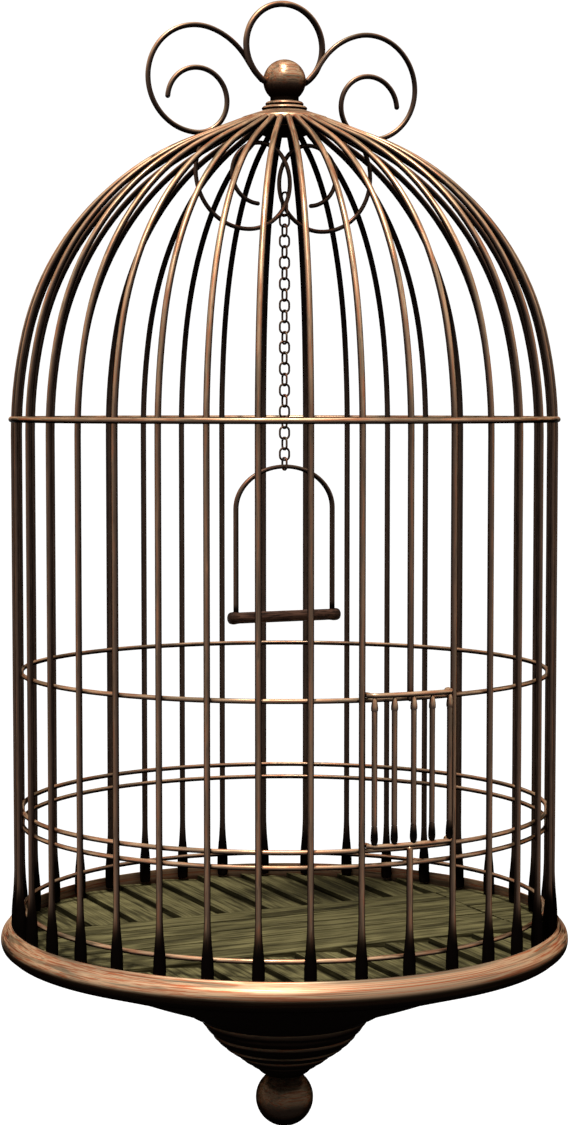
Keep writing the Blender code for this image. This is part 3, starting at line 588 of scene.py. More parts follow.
def wire_tree():
    """Sweeps a round section along a path, and repeats the wire round Z or along a step."""
    name = "Repeated wire"
    if name in bpy.data.node_groups:
        return bpy.data.node_groups[name]
    kinds = {
        "Sides": "Int",
        "Count": "Int",
        "First Turn": "Float",
        "Turn Step": "Float",
        "Step": "Vector",
        "Seed": "Int",
        "Material": "Material",
    }
    tree, given, result = new_tree(name, kinds)
    path = add_node(tree, "GeometryNodeMeshToCurve", {0: given["Geometry"]}).outputs[0]
    length = add_node(tree, "GeometryNodeSplineParameter").outputs["Length"]
    lengths = {"Geometry": path, "Name": "along", "Value": length}
    path = add_node(tree, STORE, lengths, data_type="FLOAT").outputs[0]
    section = {"Resolution": given["Sides"], "Radius": 1.0}
    circle = add_node(tree, "GeometryNodeCurvePrimitiveCircle", section).outputs[0]
    place = add_node(tree, "GeometryNodeInputPosition").outputs[0]
    places = {"Geometry": circle, "Name": "around", "Value": place}
    circle = add_node(tree, STORE, places, data_type="FLOAT_VECTOR").outputs[0]
    radius = add_node(tree, READ, {"Name": "wire_radius"}, data_type="FLOAT").outputs[0]
    sweep = {"Curve": path, "Profile Curve": circle, "Scale": radius, "Fill Caps": True}
    bent = add_node(tree, "GeometryNodeCurveToMesh", sweep).outputs[0]

    index = add_node(tree, "GeometryNodeInputIndex").outputs[0]
    step = add_node(tree, VECTOR_MATH, {0: given["Step"], 3: index}, operation="SCALE").outputs[0]
    points = add_node(tree, "GeometryNodePoints", {"Count": given["Count"], "Position": step}).outputs[0]
    turns = {0: index, 1: given["Turn Step"], 2: given["First Turn"]}
    turn = add_node(tree, MATH, turns, operation="MULTIPLY_ADD").outputs[0]
    euler = add_node(tree, "ShaderNodeCombineXYZ", {"Z": turn}).outputs[0]
    rotation = add_node(tree, "FunctionNodeEulerToRotation", {0: euler}).outputs[0]
    placing = {"Points": points, "Instance": bent, "Rotation": rotation}
    copies = add_node(tree, "GeometryNodeInstanceOnPoints", placing).outputs[0]
    draw = {2: 0.0, 3: GRAIN_SHIFT, "Seed": given["Seed"]}
    shift = add_node(tree, "FunctionNodeRandomValue", draw, data_type="FLOAT").outputs[1]
    shifts = {"Geometry": copies, "Name": "shift", "Value": shift}
    copies = add_node(tree, STORE, shifts, data_type="FLOAT", domain="INSTANCE").outputs[0]
    whole = add_node(tree, "GeometryNodeRealizeInstances", {0: copies}).outputs[0]

    around = add_node(tree, READ, {"Name": "around"}, data_type="FLOAT_VECTOR").outputs[0]
    along = add_node(tree, READ, {"Name": "along"}, data_type="FLOAT").outputs[0]
    shift = add_node(tree, READ, {"Name": "shift"}, data_type="FLOAT").outputs[0]
    across = add_node(tree, VECTOR_MATH, {0: around, 3: radius}, operation="SCALE").outputs[0]
    shifted = add_node(tree, MATH, {0: along, 1: shift}, operation="ADD").outputs[0]
    lengthwise = add_node(tree, "ShaderNodeCombineXYZ", {"Z": shifted}).outputs[0]
    grain = add_node(tree, VECTOR_MATH, {0: across, 1: lengthwise}, operation="ADD").outputs[0]
    grains = {"Geometry": whole, "Name": "grain", "Value": grain}
    whole = add_node(tree, STORE, grains, data_type="FLOAT_VECTOR").outputs[0]
    whole = add_node(tree, "GeometryNodeSetMaterial", {0: whole, 2: given["Material"]}).outputs[0]
    tree.links.new(whole, result)
    return tree


def board_tree():
    """Lays boards side by side, with uneven heights and ends, and trims them to the floor's disc.

    First is the middle of the first board, Step the way from one board to the next, and Lowest how far under
    its place a board may lie, below zero. The field is then turned and moved to Corner.
    """
    name = "Laid boards"
    if name in bpy.data.node_groups:
        return bpy.data.node_groups[name]
    kinds = {
        "Count": "Int",
        "Board": "Vector",
        "First": "Vector",
        "Step": "Vector",
        "Raggedness": "Float",
        "Lowest": "Float",
        "Lean": "Vector",
        "Turn": "Vector",
        "Corner": "Vector",
        "Seed": "Int",
        "Material": "Material",
    }
    tree, given, result = new_tree(name, kinds)
    board = add_node(tree, "GeometryNodeMeshCube", {"Size": given["Board"], "Vertices X": 2}).outputs[0]
    place = add_node(tree, "GeometryNodeInputPosition").outputs[0]
    places = {"Geometry": board, "Name": "board", "Value": place}
    board = add_node(tree, STORE, places, data_type="FLOAT_VECTOR", domain="CORNER").outputs[0]

    draws = []
    ranges = ((0.0, given["Raggedness"]), (given["Lowest"], 0.0), (0.0, GRAIN_SHIFT), (0.0, 1.0))
    for offset, (low, high) in enumerate(ranges, 1):
        seed = add_node(tree, MATH, {0: given["Seed"], 1: offset}, operation="ADD").outputs[0]
        draw = {2: low, 3: high, "Seed": seed}
        draws.append(add_node(tree, "FunctionNodeRandomValue", draw, data_type="FLOAT").outputs[1])
    ragged, uneven, shift, tone = draws

    index = add_node(tree, "GeometryNodeInputIndex").outputs[0]
    rows = {0: given["Step"], 1: index, 2: given["First"]}
    row = add_node(tree, VECTOR_MATH, rows, operation="MULTIPLY_ADD").outputs[0]
    moved = add_node(tree, "ShaderNodeCombineXYZ", {"X": ragged, "Z": uneven}).outputs[0]
    position = add_node(tree, VECTOR_MATH, {0: row, 1: moved}, operation="ADD").outputs[0]
    points = add_node(tree, "GeometryNodePoints", {"Count": given["Count"], "Position": position}).outputs[0]
    lean = add_node(tree, "FunctionNodeEulerToRotation", {0: given["Lean"]}).outputs[0]
    placing = {"Points": points, "Instance": board, "Rotation": lean}
    laid = add_node(tree, "GeometryNodeInstanceOnPoints", placing).outputs[0]
    for label, value in {"shift": shift, "tone": tone}.items():
        kept = {"Geometry": laid, "Name": label, "Value": value}
        laid = add_node(tree, STORE, kept, data_type="FLOAT", domain="INSTANCE").outputs[0]
    laid = add_node(tree, "GeometryNodeRealizeInstances", {0: laid}).outputs[0]

    place = add_node(tree, READ, {"Name": "board"}, data_type="FLOAT_VECTOR").outputs[0]
    parts = add_node(tree, "ShaderNodeSeparateXYZ", {0: place}).outputs
    shift = add_node(tree, READ, {"Name": "shift"}, data_type="FLOAT").outputs[0]
    along = add_node(tree, MATH, {0: parts["X"], 1: shift}, operation="ADD").outputs[0]
    grain = add_node(tree, "ShaderNodeCombineXYZ", {"X": parts["Y"], "Y": parts["Z"], "Z": along}).outputs[0]
    grains = {"Geometry": laid, "Name": "grain", "Value": grain}
    laid = add_node(tree, STORE, grains, data_type="FLOAT_VECTOR", domain="CORNER").outputs[0]
    place = {"Geometry": laid, "Translation": given["Corner"], "Rotation": given["Turn"]}
    laid = add_node(tree, "GeometryNodeTransform", place).outputs[0]
    trimmed = add_node(
        tree, "GeometryNodeMeshBoolean", {"Mesh 2": laid}, operation="INTERSECT", solver="EXACT"
    )
    tree.links.new(given["Geometry"], trimmed.inputs["Mesh 2"])
    whole = add_node(tree, "GeometryNodeRealizeInstances", {0: trimmed.outputs[0]}).outputs[0]
    whole = add_node(tree, "GeometryNodeSetMaterial", {0: whole, 2: given["Material"]}).outputs[0]
    tree.links.new(whole, result)
    return tree


def grown(name, mesh, tree, values):
    """Runs a tree on a mesh and keeps the result as a plain mesh object."""
    seedling = bpy.data.objects.new(f"{name}_path", mesh)
    bpy.context.scene.collection.objects.link(seedling)
    modifier = seedling.modifiers.new("tree", "NODES")
    modifier.node_group = tree
    for item in tree.interface.items_tree:
        if item.item_type == "SOCKET" and item.in_out == "INPUT" and item.name in values:
            modifier[item.identifier] = values[item.name]
    graph = bpy.context.evaluated_depsgraph_get()
    made = bpy.data.meshes.new_from_object(seedling.evaluated_get(graph), depsgraph=graph)
    bpy.data.objects.remove(seedling)
    bpy.data.meshes.remove(mesh)
    made.name = name
    return shown(name, made)


def shown(name, mesh, sharp=SHARP_WIRE):
    """An object at the origin, smooth but for edges sharper than this many degrees."""
    mesh.shade_smooth()
    mesh.set_sharp_from_angle(angle=math.radians(sharp))
    made = bpy.data.objects.new(name, mesh)
    bpy.context.scene.collection.objects.link(made)
    return made


def dress(piece, body, slot, *nodes):
    """Puts a finished piece on its body, in place of the frame's own solids."""
    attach(piece, body)
    if nodes:
        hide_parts(*nodes)
    return piece


# Paths and outlines


class Bend:
    """The centreline of a bent wire in its own plane, made of straight runs and arcs."""

    def __init__(self, across, up, heading):
        self.points = [(across, up)]
        self.heading = heading

    def straight(self, length):
        across, up = self.points[-1]
        self.points.append((across + length * math.cos(self.heading), up + length * math.sin(self.heading)))
        return self

    def arc(self, radius, turn, step=math.radians(4)):
        """Turns left for a positive turn and right for a negative one."""
        side = math.copysign(QUARTER_TURN, turn)
        across, up = self.points[-1]
        centre_across = across + radius * math.cos(self.heading + side)
        centre_up = up + radius * math.sin(self.heading + side)
        steps = max(2, math.ceil(abs(turn) / step))
        for place in range(1, steps + 1):
            spoke = self.heading - side + turn * place / steps
            point = (centre_across + radius * math.cos(spoke), centre_up + radius * math.sin(spoke))
            self.points.append(point)
        self.heading += turn
        return self


def smooth_through(keys, steps):
    """A curve through the keys, which are tuples of numbers, with this many steps between two of them."""
    result = []
    for place in range(len(keys) - 1):
        before, here = keys[max(place - 1, 0)], keys[place]
        there, after = keys[place + 1], keys[min(place + 2, len(keys) - 1)]
        for step in range(steps):
            t = step / steps
            row = []
            for a, b, c, d in zip(before, here, there, after):
                squared, cubed = a - 2.5 * b + 2 * c - d / 2, 1.5 * (b - c) + (d - a) / 2
                row.append(b + t * ((c - a) / 2 + t * (squared + t * cubed)))
            result.append(tuple(row))
    return [*result, tuple(keys[-1])]


def upright(points, level=SHOULDER, y=0.0):
    """Points of the XZ plane, given as (x, height over a level), in space."""
    return [Vector((across, y, level + up)) for across, up in points]


def path_mesh(name, points, radii, tarnish_and_painted_shade=None, closed=False):
    """A line of edges that carries the wire's radius and how dark it is at each point, mostly painted shade.
    """
    edges = [(place, place + 1) for place in range(len(points) - 1)]
    if closed:
        edges.append((len(points) - 1, 0))
    mesh = bpy.data.meshes.new(name)
    mesh.from_pydata([tuple(point) for point in points], edges, [])
    mesh.attributes.new("wire_radius", "FLOAT", "POINT").data.foreach_set("value", radii)
    mesh.attributes.new("tarnish_and_painted_shade", "FLOAT", "POINT").data.foreach_set("value", tarnish_and_painted_shade or [0.0] * len(points))
    return mesh


def round_ended(points, radius, ends=(True, True), steps=5):
    """The points with more of them near each rounded end, and the wire's radius at each."""
    lengths = [0.0]
    for here, there in zip(points, points[1:]):
        lengths.append(lengths[-1] + (there - here).length)
    total = lengths[-1]
    # How far from a rounded end its points lie, the first of them just inside the tip.
    spokes = [QUARTER_TURN * step / steps for step in range(1, steps + 1)]
    dome = [0.02 * radius, *(radius * (1 - math.cos(spoke)) for spoke in spokes)]
    start = dome if ends[0] else [0.0]
    finish_at = [total - distance for distance in reversed(dome)] if ends[1] else [total]
    middle_run = [length for length in lengths if start[-1] < length < finish_at[0]]
    places, radii = [], []
    stretch = 0
    for distance in [*start, *middle_run, *finish_at]:
        while stretch < len(lengths) - 2 and lengths[stretch + 1] < distance:
            stretch += 1
        part = (distance - lengths[stretch]) / (lengths[stretch + 1] - lengths[stretch])
        places.append(points[stretch].lerp(points[stretch + 1], part))
        inset = radius
        if ends[0]:
            inset = min(inset, distance)
        if ends[1]:
            inset = min(inset, total - distance)
        radii.append(math.sqrt(max(radius**2 - (radius - inset) ** 2, 0)) if inset < radius else radius)
    return places, radii


def wire(name, points, width, material, sides=16, closed=False, ends=(True, True), **values):
    """A round wire along points in space, with rounded ends unless it is closed."""
    if closed:
        radii = [width / 2] * len(points)
    else:
        points, radii = round_ended(points, width / 2, ends)
    return swept(name, path_mesh(name, points, radii, closed=closed), material, sides, **values)


def swept(name, mesh, material, sides, count=1, first=0.0, turn=0.0, step=(0, 0, 0), seed=0):
    values = {
        "Sides": sides,
        "Count": count,
        "First Turn": first,
        "Turn Step": turn,
        "Step": step,
        "Seed": seed,
        "Material": finish(material),
    }
    return grown(name, mesh, wire_tree(), values)


def saved(name, built):
    """The mesh of what bmesh has built, which is then let go."""
    mesh = bpy.data.meshes.new(name)
    built.to_mesh(mesh)
    built.free()
    return mesh


def spun(name, outline, steps, closed=False):
    """The mesh of an outline of (radius, height over the shoulder ring) that is spun round Z."""
    built = bmesh.new()
    corners = [built.verts.new((radius, 0, SHOULDER + height)) for radius, height in outline]
    pairs = zip(corners, corners[1:] + corners[:1]) if closed else zip(corners, corners[1:])
    edges = [built.edges.new(pair) for pair in pairs]
    bmesh.ops.spin(
        built,
        geom=corners + edges,
        cent=(0, 0, 0),
        axis=(0, 0, 1),
        angle=FULL_TURN,
        steps=steps,
        use_merge=True,
    )
    bmesh.ops.remove_doubles(built, verts=built.verts, dist=0.000001)
    bmesh.ops.recalc_face_normals(built, faces=built.faces)
    return saved(name, built)


def turned(name, outline, steps, material, closed=False, tarnish_and_painted_shade=lambda height: 0.0):
    """A turned piece. An outline that isn't closed starts and ends on the axis.

    The last argument gives how dark the piece is, mostly painted shade, at a height over the shoulder ring.
    """
    mesh = spun(name, outline, steps, closed)
    amounts = [tarnish_and_painted_shade(corner.co.z - SHOULDER) for corner in mesh.vertices]
    mesh.attributes.new("tarnish_and_painted_shade", "FLOAT", "POINT").data.foreach_set("value", amounts)
    mesh.materials.append(finish(material))
    return shown(name, mesh, SHARP_TURNING)


def round_ball(name, centre, radius, tarnish_and_painted_shade, steps=48):
    rows = steps // 2
    tilts = [math.pi * row / rows - QUARTER_TURN for row in range(rows + 1)]
    level = centre.z - SHOULDER
    outline = [(max(radius * math.cos(tilt), 0), level + radius * math.sin(tilt)) for tilt in tilts]
    outline[0] = (0, outline[0][1])
    outline[-1] = (0, outline[-1][1])
    return turned(name, outline, steps, "burnished ball", tarnish_and_painted_shade=tarnish_and_painted_shade)


def bulge(start, end, depth, steps=8):
    """Points of a rounded moulding from start to end, which swells to the left of its way by this depth."""
    across, up = end[0] - start[0], end[1] - start[1]
    length = math.hypot(across, up)
    points = []
    for step in range(1, steps + 1):
        part = step / steps
        lift = depth * math.sin(math.pi * part)
        out, rise = -up / length * lift, across / length * lift
        points.append((start[0] + across * part + out, start[1] + up * part + rise))
    return points


def ramp(value, low, high):
    """Nothing up to low, one from high on, and a straight rise between them."""
    return max(0.0, min(1.0, (value - low) / (high - low)))


# Pieces


def bar_foot(sizes, bottom):
    """(height, width, darkness) up a bar's flared foot, from the floor to the plain bar; the darkness stands
    for grime and painted shade.
    """
    # Shares of the foot's height and width, and the grime and painted shade there.
    keys = (
        (0.0, 0.02, 0.6),
        (0.006, 0.78, 0.7),
        (0.03, 0.92, 0.8),
        (0.1, 0.97, 0.9),
        (0.2, 1.0, 1.0),
        (0.34, 0.97, 1.0),
        (0.5, 0.84, 1.0),
        (0.66, 0.68, 0.9),
        (0.83, 0.57, 0.5),
        (1.0, 0.512, 0.15),
        (1.3, 0.512, 0.0),
    )
    rows = smooth_through(keys, 3)
    return [
        (bottom + sizes.foot_height * rise, sizes.foot_width * across, ramp(dark, 0.0, 1.0))
        for rise, across, dark in rows
    ]


def dome_path(sizes):
    """A bar's gentle bend at the shoulder ring, its bend over the dome, and its run to the crown."""
    path = Bend(sizes.radius, -sizes.drop, QUARTER_TURN)
    path.arc(sizes.shoulder_bend, sizes.shoulder_turn, math.radians(2))
    path.arc(sizes.bend, QUARTER_TURN - sizes.shoulder_turn - sizes.slope, math.radians(2.5))
    return path.straight((path.points[-1][0] - sizes.top_radius) / math.cos(sizes.slope))


class BIRDCAGE_OT_bars(bpy.types.Operator):
    """Draw the bars, from their flared feet to their rounded tips at the crown"""

    bl_idname = "birdcage.bars"
    bl_label = "Bars"

    def execute(self, context):
        sizes = context.scene.bird_cage.bars
        *foot, (plain, _, _) = bar_foot(sizes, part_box("deck")[1].z - SHOULDER)
        foot_points = upright([(sizes.radius, height) for height, _, _ in foot])
        foot_radii = [width / 2 for _, width, _ in foot]
        foot_dark = [amount for _, _, amount in foot]

        half = sizes.width / 2
        whole = round_ended(upright([(sizes.radius, plain), *dome_path(sizes).points]), half, (False, True))
        head = Vector((sizes.radius, 0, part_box("door_head_bar")[0].z))
        over = round_ended([head, *(point for point in whole[0] if point.z > head.z)], half)
        sill = Vector((sizes.radius, 0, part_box("door_sill_bar")[1].z))
        under = round_ended([*upright([(sizes.radius, plain)]), sill], half, (False, True))

        front, step = -QUARTER_TURN, FULL_TURN / sizes.count
        seeds = SEEDS["bar over the door"], SEEDS["bar under the door"]
        all_round = {"count": sizes.count - 1, "first": step + front, "turn": step}
        for name, (points, radii), has_foot, nodes, places in (
            ("cage_bars", whole, True, BAR_NODES, all_round),
            ("bar_over_the_door", over, False, ["door_head_bar"], {"first": front, "seed": seeds[0]}),
            ("bar_under_the_door", under, True, ["door_sill_bar"], {"first": front, "seed": seeds[1]}),
        ):
            dark = [0.0] * len(points)
            if has_foot:
                points, radii, dark = foot_points + points, foot_radii + radii, foot_dark + dark
            mesh = path_mesh(name, points, radii, dark)
            bar = swept(name, mesh, "bronzed wire", sizes.sides, **places)
            dress(bar, CAGE_BODY, "aged_bronze", *nodes)
        return {"FINISHED"}


class BIRDCAGE_OT_rings(bpy.types.Operator):
    """Draw the rings that tie the bars"""

    bl_idname = "birdcage.rings"
    bl_label = "Rings"

    def execute(self, context):
        sizes = context.scene.bird_cage.rings
        bars = context.scene.bird_cage.bars
        inside = bars.radius - bars.width / 2 - sizes.tie_wire / 2
        seats = {
            "shoulder_ring": bars.radius + sizes.shoulder_seat,
            "door_head_ring": inside,
            "door_sill_ring": inside,
            "lower_ring": inside,
            "foot_ring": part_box("foot_ring")[1].x - sizes.tie_wire / 2,
        }
        for place, (node, radius) in enumerate(seats.items()):
            width = sizes.shoulder_wire if node == "shoulder_ring" else sizes.tie_wire
            height = middle(node).z
            points = [
                Vector((radius * math.cos(turn), radius * math.sin(turn), height))
                for turn in (FULL_TURN * step / sizes.steps for step in range(sizes.steps))
            ]
            ring = wire(f"round_{node}", points, width, "bronzed wire", sizes.sides, closed=True, seed=place)
            dress(ring, CAGE_BODY, "aged_bronze", node)
        return {"FINISHED"}


class BIRDCAGE_OT_crown(bpy.types.Operator):
    """Turn the crown, with its cap, beads and neck, and the ball"""

    bl_idname = "birdcage.crown"
    bl_label = "Crown"

    def execute(self, context):
        sizes = context.scene.bird_cage.crown
        bars = context.scene.bird_cage.bars
        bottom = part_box("crown_hub")[0].z - SHOULDER
        ball = middle("crown_ball")
        ball_level = ball.z - SHOULDER
        bar_end = dome_path(bars).points[-1]

        def over_bars(radius, lift):
            """A point this far over the centreline of the bars' last run."""
            rise = (bar_end[0] - radius) * math.tan(bars.slope) + lift / math.cos(bars.slope)
            return (radius, bar_end[1] + rise)

        lip, step, seam = 0.0012, 0.0006, 0.0002

        def bead(radius, drop):
            """A half round bead, from the step under its lower lip to its upper edge."""
            middle_level, half = ball_level - drop, sizes.bead_height / 2
            foot, head = (radius - lip, middle_level - half), (radius - lip, middle_level + half)
            return [(radius - step, foot[1] - seam), foot, *bulge(foot, head, -lip, 9)]

        hub, cap = sizes.hub_radius, sizes.cap_radius
        ledge = bottom + 0.006
        ledge_foot = (hub * 0.975, ledge - 0.0012)
        hub_edge = (hub * 0.84, bottom)
        half_bar = bars.width / 2
        brim = over_bars(cap - 0.0016, half_bar + seam)
        under = (cap - 0.0022, over_bars(cap, -half_bar)[1] + 0.0004)
        collar = ball_level - sizes.upper_drop + sizes.bead_height / 2
        neck = (sizes.neck_radius, ball_level - math.sqrt(sizes.ball_radius**2 - sizes.neck_radius**2))
        outline = [
            (0, bottom),
            hub_edge,
            *bulge(hub_edge, (hub * 0.88, bottom + 0.0008), -0.0003, 4),
            ledge_foot,
            *bulge(ledge_foot, (hub * 0.985, ledge), -0.0006, 6),
            under,
            *bulge(under, brim, -0.0013, 9),
            *bead(sizes.lower_bead, sizes.lower_drop),
            *bead(sizes.upper_bead, sizes.upper_drop),
            (sizes.neck_radius + 0.0008, collar + 0.0003),
            (sizes.neck_radius, collar + 0.0009),
            neck,
            (0, neck[1] - 0.001),
        ]

        def tarnish_and_painted_shade(height):
            """Painted shade: the neck in the ball's shade and the hub under the bars are dark, the ledge half
            so.
            """
            if abs(height - ledge + 0.0004) < 0.0006:
                return 0.5
            return 0.97 if height > collar + seam or height < under[1] - 0.0005 else 0.0

        crown = turned("crown_turning", outline, sizes.steps, "bronzed turning", tarnish_and_painted_shade=tarnish_and_painted_shade)
        dress(crown, CAGE_BODY, "aged_bronze", "crown_hub")

        def shaded(height):
            """The ball's lower half is darker: painted shade, as from the light above."""
            down = ball_level - height
            return ramp(down, -0.0052, -0.0012) * 0.5 + ramp(down, 0.001, 0.008) * 0.42

        knob = round_ball("crown_knob", ball, sizes.ball_radius, shaded)
        dress(knob, CAGE_BODY, "aged_bronze", "crown_ball")
        return {"FINISHED"}


class BIRDCAGE_OT_hanger(bpy.types.Operator):
    """Bend the hanging hoop and the scrolls beside it"""

    bl_idname = "birdcage.hanger"
    bl_label = "Hoop and scrolls"

    def execute(self, context):
        sizes = context.scene.bird_cage.hanger
        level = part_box("hanging_hoop")[1].z - sizes.hoop_wire / 2 - sizes.hoop_radius
        start = sizes.hoop_start
        foot = (sizes.hoop_radius * math.cos(start), sizes.hoop_radius * math.sin(start))
        path = Bend(*foot, start + QUARTER_TURN).arc(sizes.hoop_radius, math.pi - 2 * start, FINE_STEP)
        points = upright(path.points, level, middle("hanging_hoop").y)
        hoop = wire("round_hoop", points, sizes.hoop_wire, "bronzed wire", sizes.sides, seed=SEEDS["hoop"])
        dress(hoop, CAGE_BODY, "aged_bronze", "hanging_hoop")

        path = Bend(sizes.reach + sizes.curl, middle("crown_ball").z - SHOULDER - sizes.drop, QUARTER_TURN)
        path.arc(sizes.curl, 3 * QUARTER_TURN)
        path.arc(sizes.bow, sizes.bow_turn, FINE_STEP)
        path.arc(sizes.shoulder, sizes.shoulder_turn)
        path.arc(sizes.tail, sizes.tail_turn)
        path.straight(sizes.wire)
        turns = {"outer_scroll_right": 0.0, "outer_scroll_left": math.pi}
        for place, (node, turn) in enumerate(turns.items()):
            # The right scroll lies on the side of -Y, and half a turn puts the left one on the other.
            points = upright(path.points, SHOULDER, -abs(middle(node).y))
            given = {"first": turn, "seed": SEEDS["scroll"] + place}
            scroll = wire(f"round_{node}", points, sizes.wire, "bronzed wire", sizes.sides, **given)
            dress(scroll, CAGE_BODY, "aged_bronze", node)
        return {"FINISHED"}


class BIRDCAGE_OT_lyre(bpy.types.Operator):
    """Bend the two scrolls that cross under the dome"""

    bl_idname = "birdcage.lyre"
    bl_label = "Inner scrolls"

    def execute(self, context):
        sizes = context.scene.bird_cage.lyre
        bars = context.scene.bird_cage.bars
        # The bow starts where it meets the underside of a bar: the dome's bend, from its own centre.
        gentle = bars.shoulder_bend - bars.bend
        centre_across = bars.radius - bars.shoulder_bend + gentle * math.cos(bars.shoulder_turn)
        centre_up = gentle * math.sin(bars.shoulder_turn) - bars.drop
        across, up = sizes.reach - centre_across, sizes.rise - centre_up
        apart = math.hypot(across, up)
        reach = bars.bend - bars.width / 2 - sizes.wire / 2
        bend = math.acos((reach**2 - apart**2 - sizes.wide_bow**2) / (2 * apart * sizes.wide_bow))
        start = math.atan2(up, across) - bend
        foot = (
            sizes.reach + sizes.wide_bow * math.cos(start),
            sizes.rise + sizes.wide_bow * math.sin(start),
        )
        path = Bend(*foot, start - QUARTER_TURN)
        path.arc(sizes.wide_bow, -(QUARTER_TURN + start), FINE_STEP)
        path.arc(sizes.bow, -sizes.bow_turn, FINE_STEP)
        path.arc(sizes.curl, -sizes.curl_turn)
        turns = {"lyre_scroll_right": 0.0, "lyre_scroll_left": math.pi}
        for place, (node, turn) in enumerate(turns.items()):
            points = upright(path.points, SHOULDER, abs(middle(node).y))
            seed = SEEDS["inner scroll"] + place
            scroll = wire(f"round_{node}", points, sizes.wire, "dark bronzed wire", first=turn, seed=seed)
            dress(scroll, CAGE_BODY, "dark_bronze", node)
        return {"FINISHED"}


def link_path(width, height, corner):
    """A link's centreline round its own centre, in the XZ plane: straight sides and rounded corners."""
    path = Bend(width / 2, corner - height / 2, QUARTER_TURN)
    for side in (height, width, height, width):
        path.straight(side - 2 * corner).arc(corner, QUARTER_TURN, math.radians(15))
    return path.points[:-1]


class BIRDCAGE_OT_chain(bpy.types.Operator):
    """Link the chain that carries the swing, one run of links for each body"""

    bl_idname = "birdcage.chain"
    bl_label = "Chain"

    def execute(self, context):
        sizes = context.scene.bird_cage.chain
        low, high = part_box("end_link")
        link = (high.y - low.y - sizes.wire, high.z - low.z - sizes.wire)
        low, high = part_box("top_link")
        tall = (high.y - low.y - sizes.wire, sizes.top_height - sizes.wire)
        next_top = low.z + link[1] + sizes.wire
        long_link = self.run("long_link", 1, QUARTER_TURN, tall, high.z, 0, sizes)
        dress(long_link, "top_link", "dark_bronze", "top_link")
        next_link = self.run("next_link", 1, 0.0, link, next_top, 0, sizes)
        dress(next_link, "top_link", "dark_bronze")
        for node, count, first in (
            ("upper_chain", sizes.upper_links, QUARTER_TURN),
            ("lower_chain", sizes.lower_links, 0.0),
            ("end_link", 1, QUARTER_TURN),
        ):
            low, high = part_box(node)
            pitch = (high.z - low.z - sizes.wire - link[1]) / max(count - 1, 1)
            links = self.run(f"round_{node}", count, first, link, high.z, pitch, sizes)
            dress(links, node, "dark_bronze", node)
        return {"FINISHED"}

    def run(self, name, count, first, link, top, pitch, sizes):
        """Links that hang down from this height, each turned a quarter from the last."""
        points = upright(link_path(*link, sizes.corner), top - sizes.wire / 2 - link[1] / 2)
        return wire(
            name,
            points,
            sizes.wire,
            "dark bronzed wire",
            sizes.sides,
            closed=True,
            count=count,
            first=first,
            turn=QUARTER_TURN,
            step=(0, 0, -pitch),
            seed=SEEDS["link"],
        )


class BIRDCAGE_OT_swing(bpy.types.Operator):
    """Bend the swing's bail and turn its perch"""

    bl_idname = "birdcage.swing"
    bl_label = "Swing"

    def execute(self, context):
        sizes = context.scene.bird_cage.swing
        self.bail(sizes)
        self.perch(sizes)
        return {"FINISHED"}

    def bail(self, sizes):
        """The arch of wire and its two legs, which grow thicker from the chain down."""
        low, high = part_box("swing_bail")
        top = high.z - sizes.wire / 2
        # A leg's end, whose first two heights are dark.
        leg = [(sizes.half_width, low.z - top + rise) for rise in (0.0, 0.006, 0.010)]
        steps = 40
        turns = [math.pi * step / steps for step in range(steps + 1)]
        arch = [(sizes.half_width * math.cos(turn), sizes.arch * (math.sin(turn) - 1)) for turn in turns]
        points = [*leg, *arch, *((-across, up) for across, up in reversed(leg))]
        thicker = sizes.leg_wire - sizes.wire
        widths = [
            (sizes.wire + thicker * ramp(abs(across), 0.2 * sizes.half_width, sizes.half_width)) / 2
            for across, _ in points
        ]
        dark = [0.95 if up <= leg[1][1] else 0.0 for _, up in points]
        bail = path_mesh("bail_line", upright(points, top), widths, dark)
        bail = swept("round_bail", bail, "dark bronzed wire", 18, seed=SEEDS["bail"])
        dress(bail, "swing", "aged_bronze", "swing_bail")

    def perch(self, sizes):
        """The wooden perch, with a turned swelling and painted shade darkening each tip."""
        low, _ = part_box("perch")
        radius = sizes.perch_width / 2
        # The perch's turned end: shares of that end's length and of the perch's radius.
        keys = (
            (0.0, 0.001),
            (0.012, 0.34),
            (0.05, 0.66),
            (0.13, 0.92),
            (0.26, 1.02),
            (0.42, 1.06),
            (0.6, 1.0),
            (0.8, 0.94),
            (1.0, 0.95),
        )
        end_length = 0.011
        rows = smooth_through(keys, 3)
        along = [low.x + end_length * part for part, _ in rows]
        widths = [radius * width for _, width in rows]
        along += [-place for place in reversed(along)]
        widths += list(reversed(widths))
        level = middle("perch").z
        half_length = along[-1]
        # Painted shade darkens the perch towards each end.
        dark = [0.7 * ramp(abs(place), 0.82 * half_length, 0.95 * half_length) for place in along]
        mesh = path_mesh("perch_line", upright([(place, 0) for place in along], level), widths, dark)
        perch = swept("turned_perch", mesh, "turned hardwood", 28)
        dress(perch, "swing", "perch_wood", "perch")


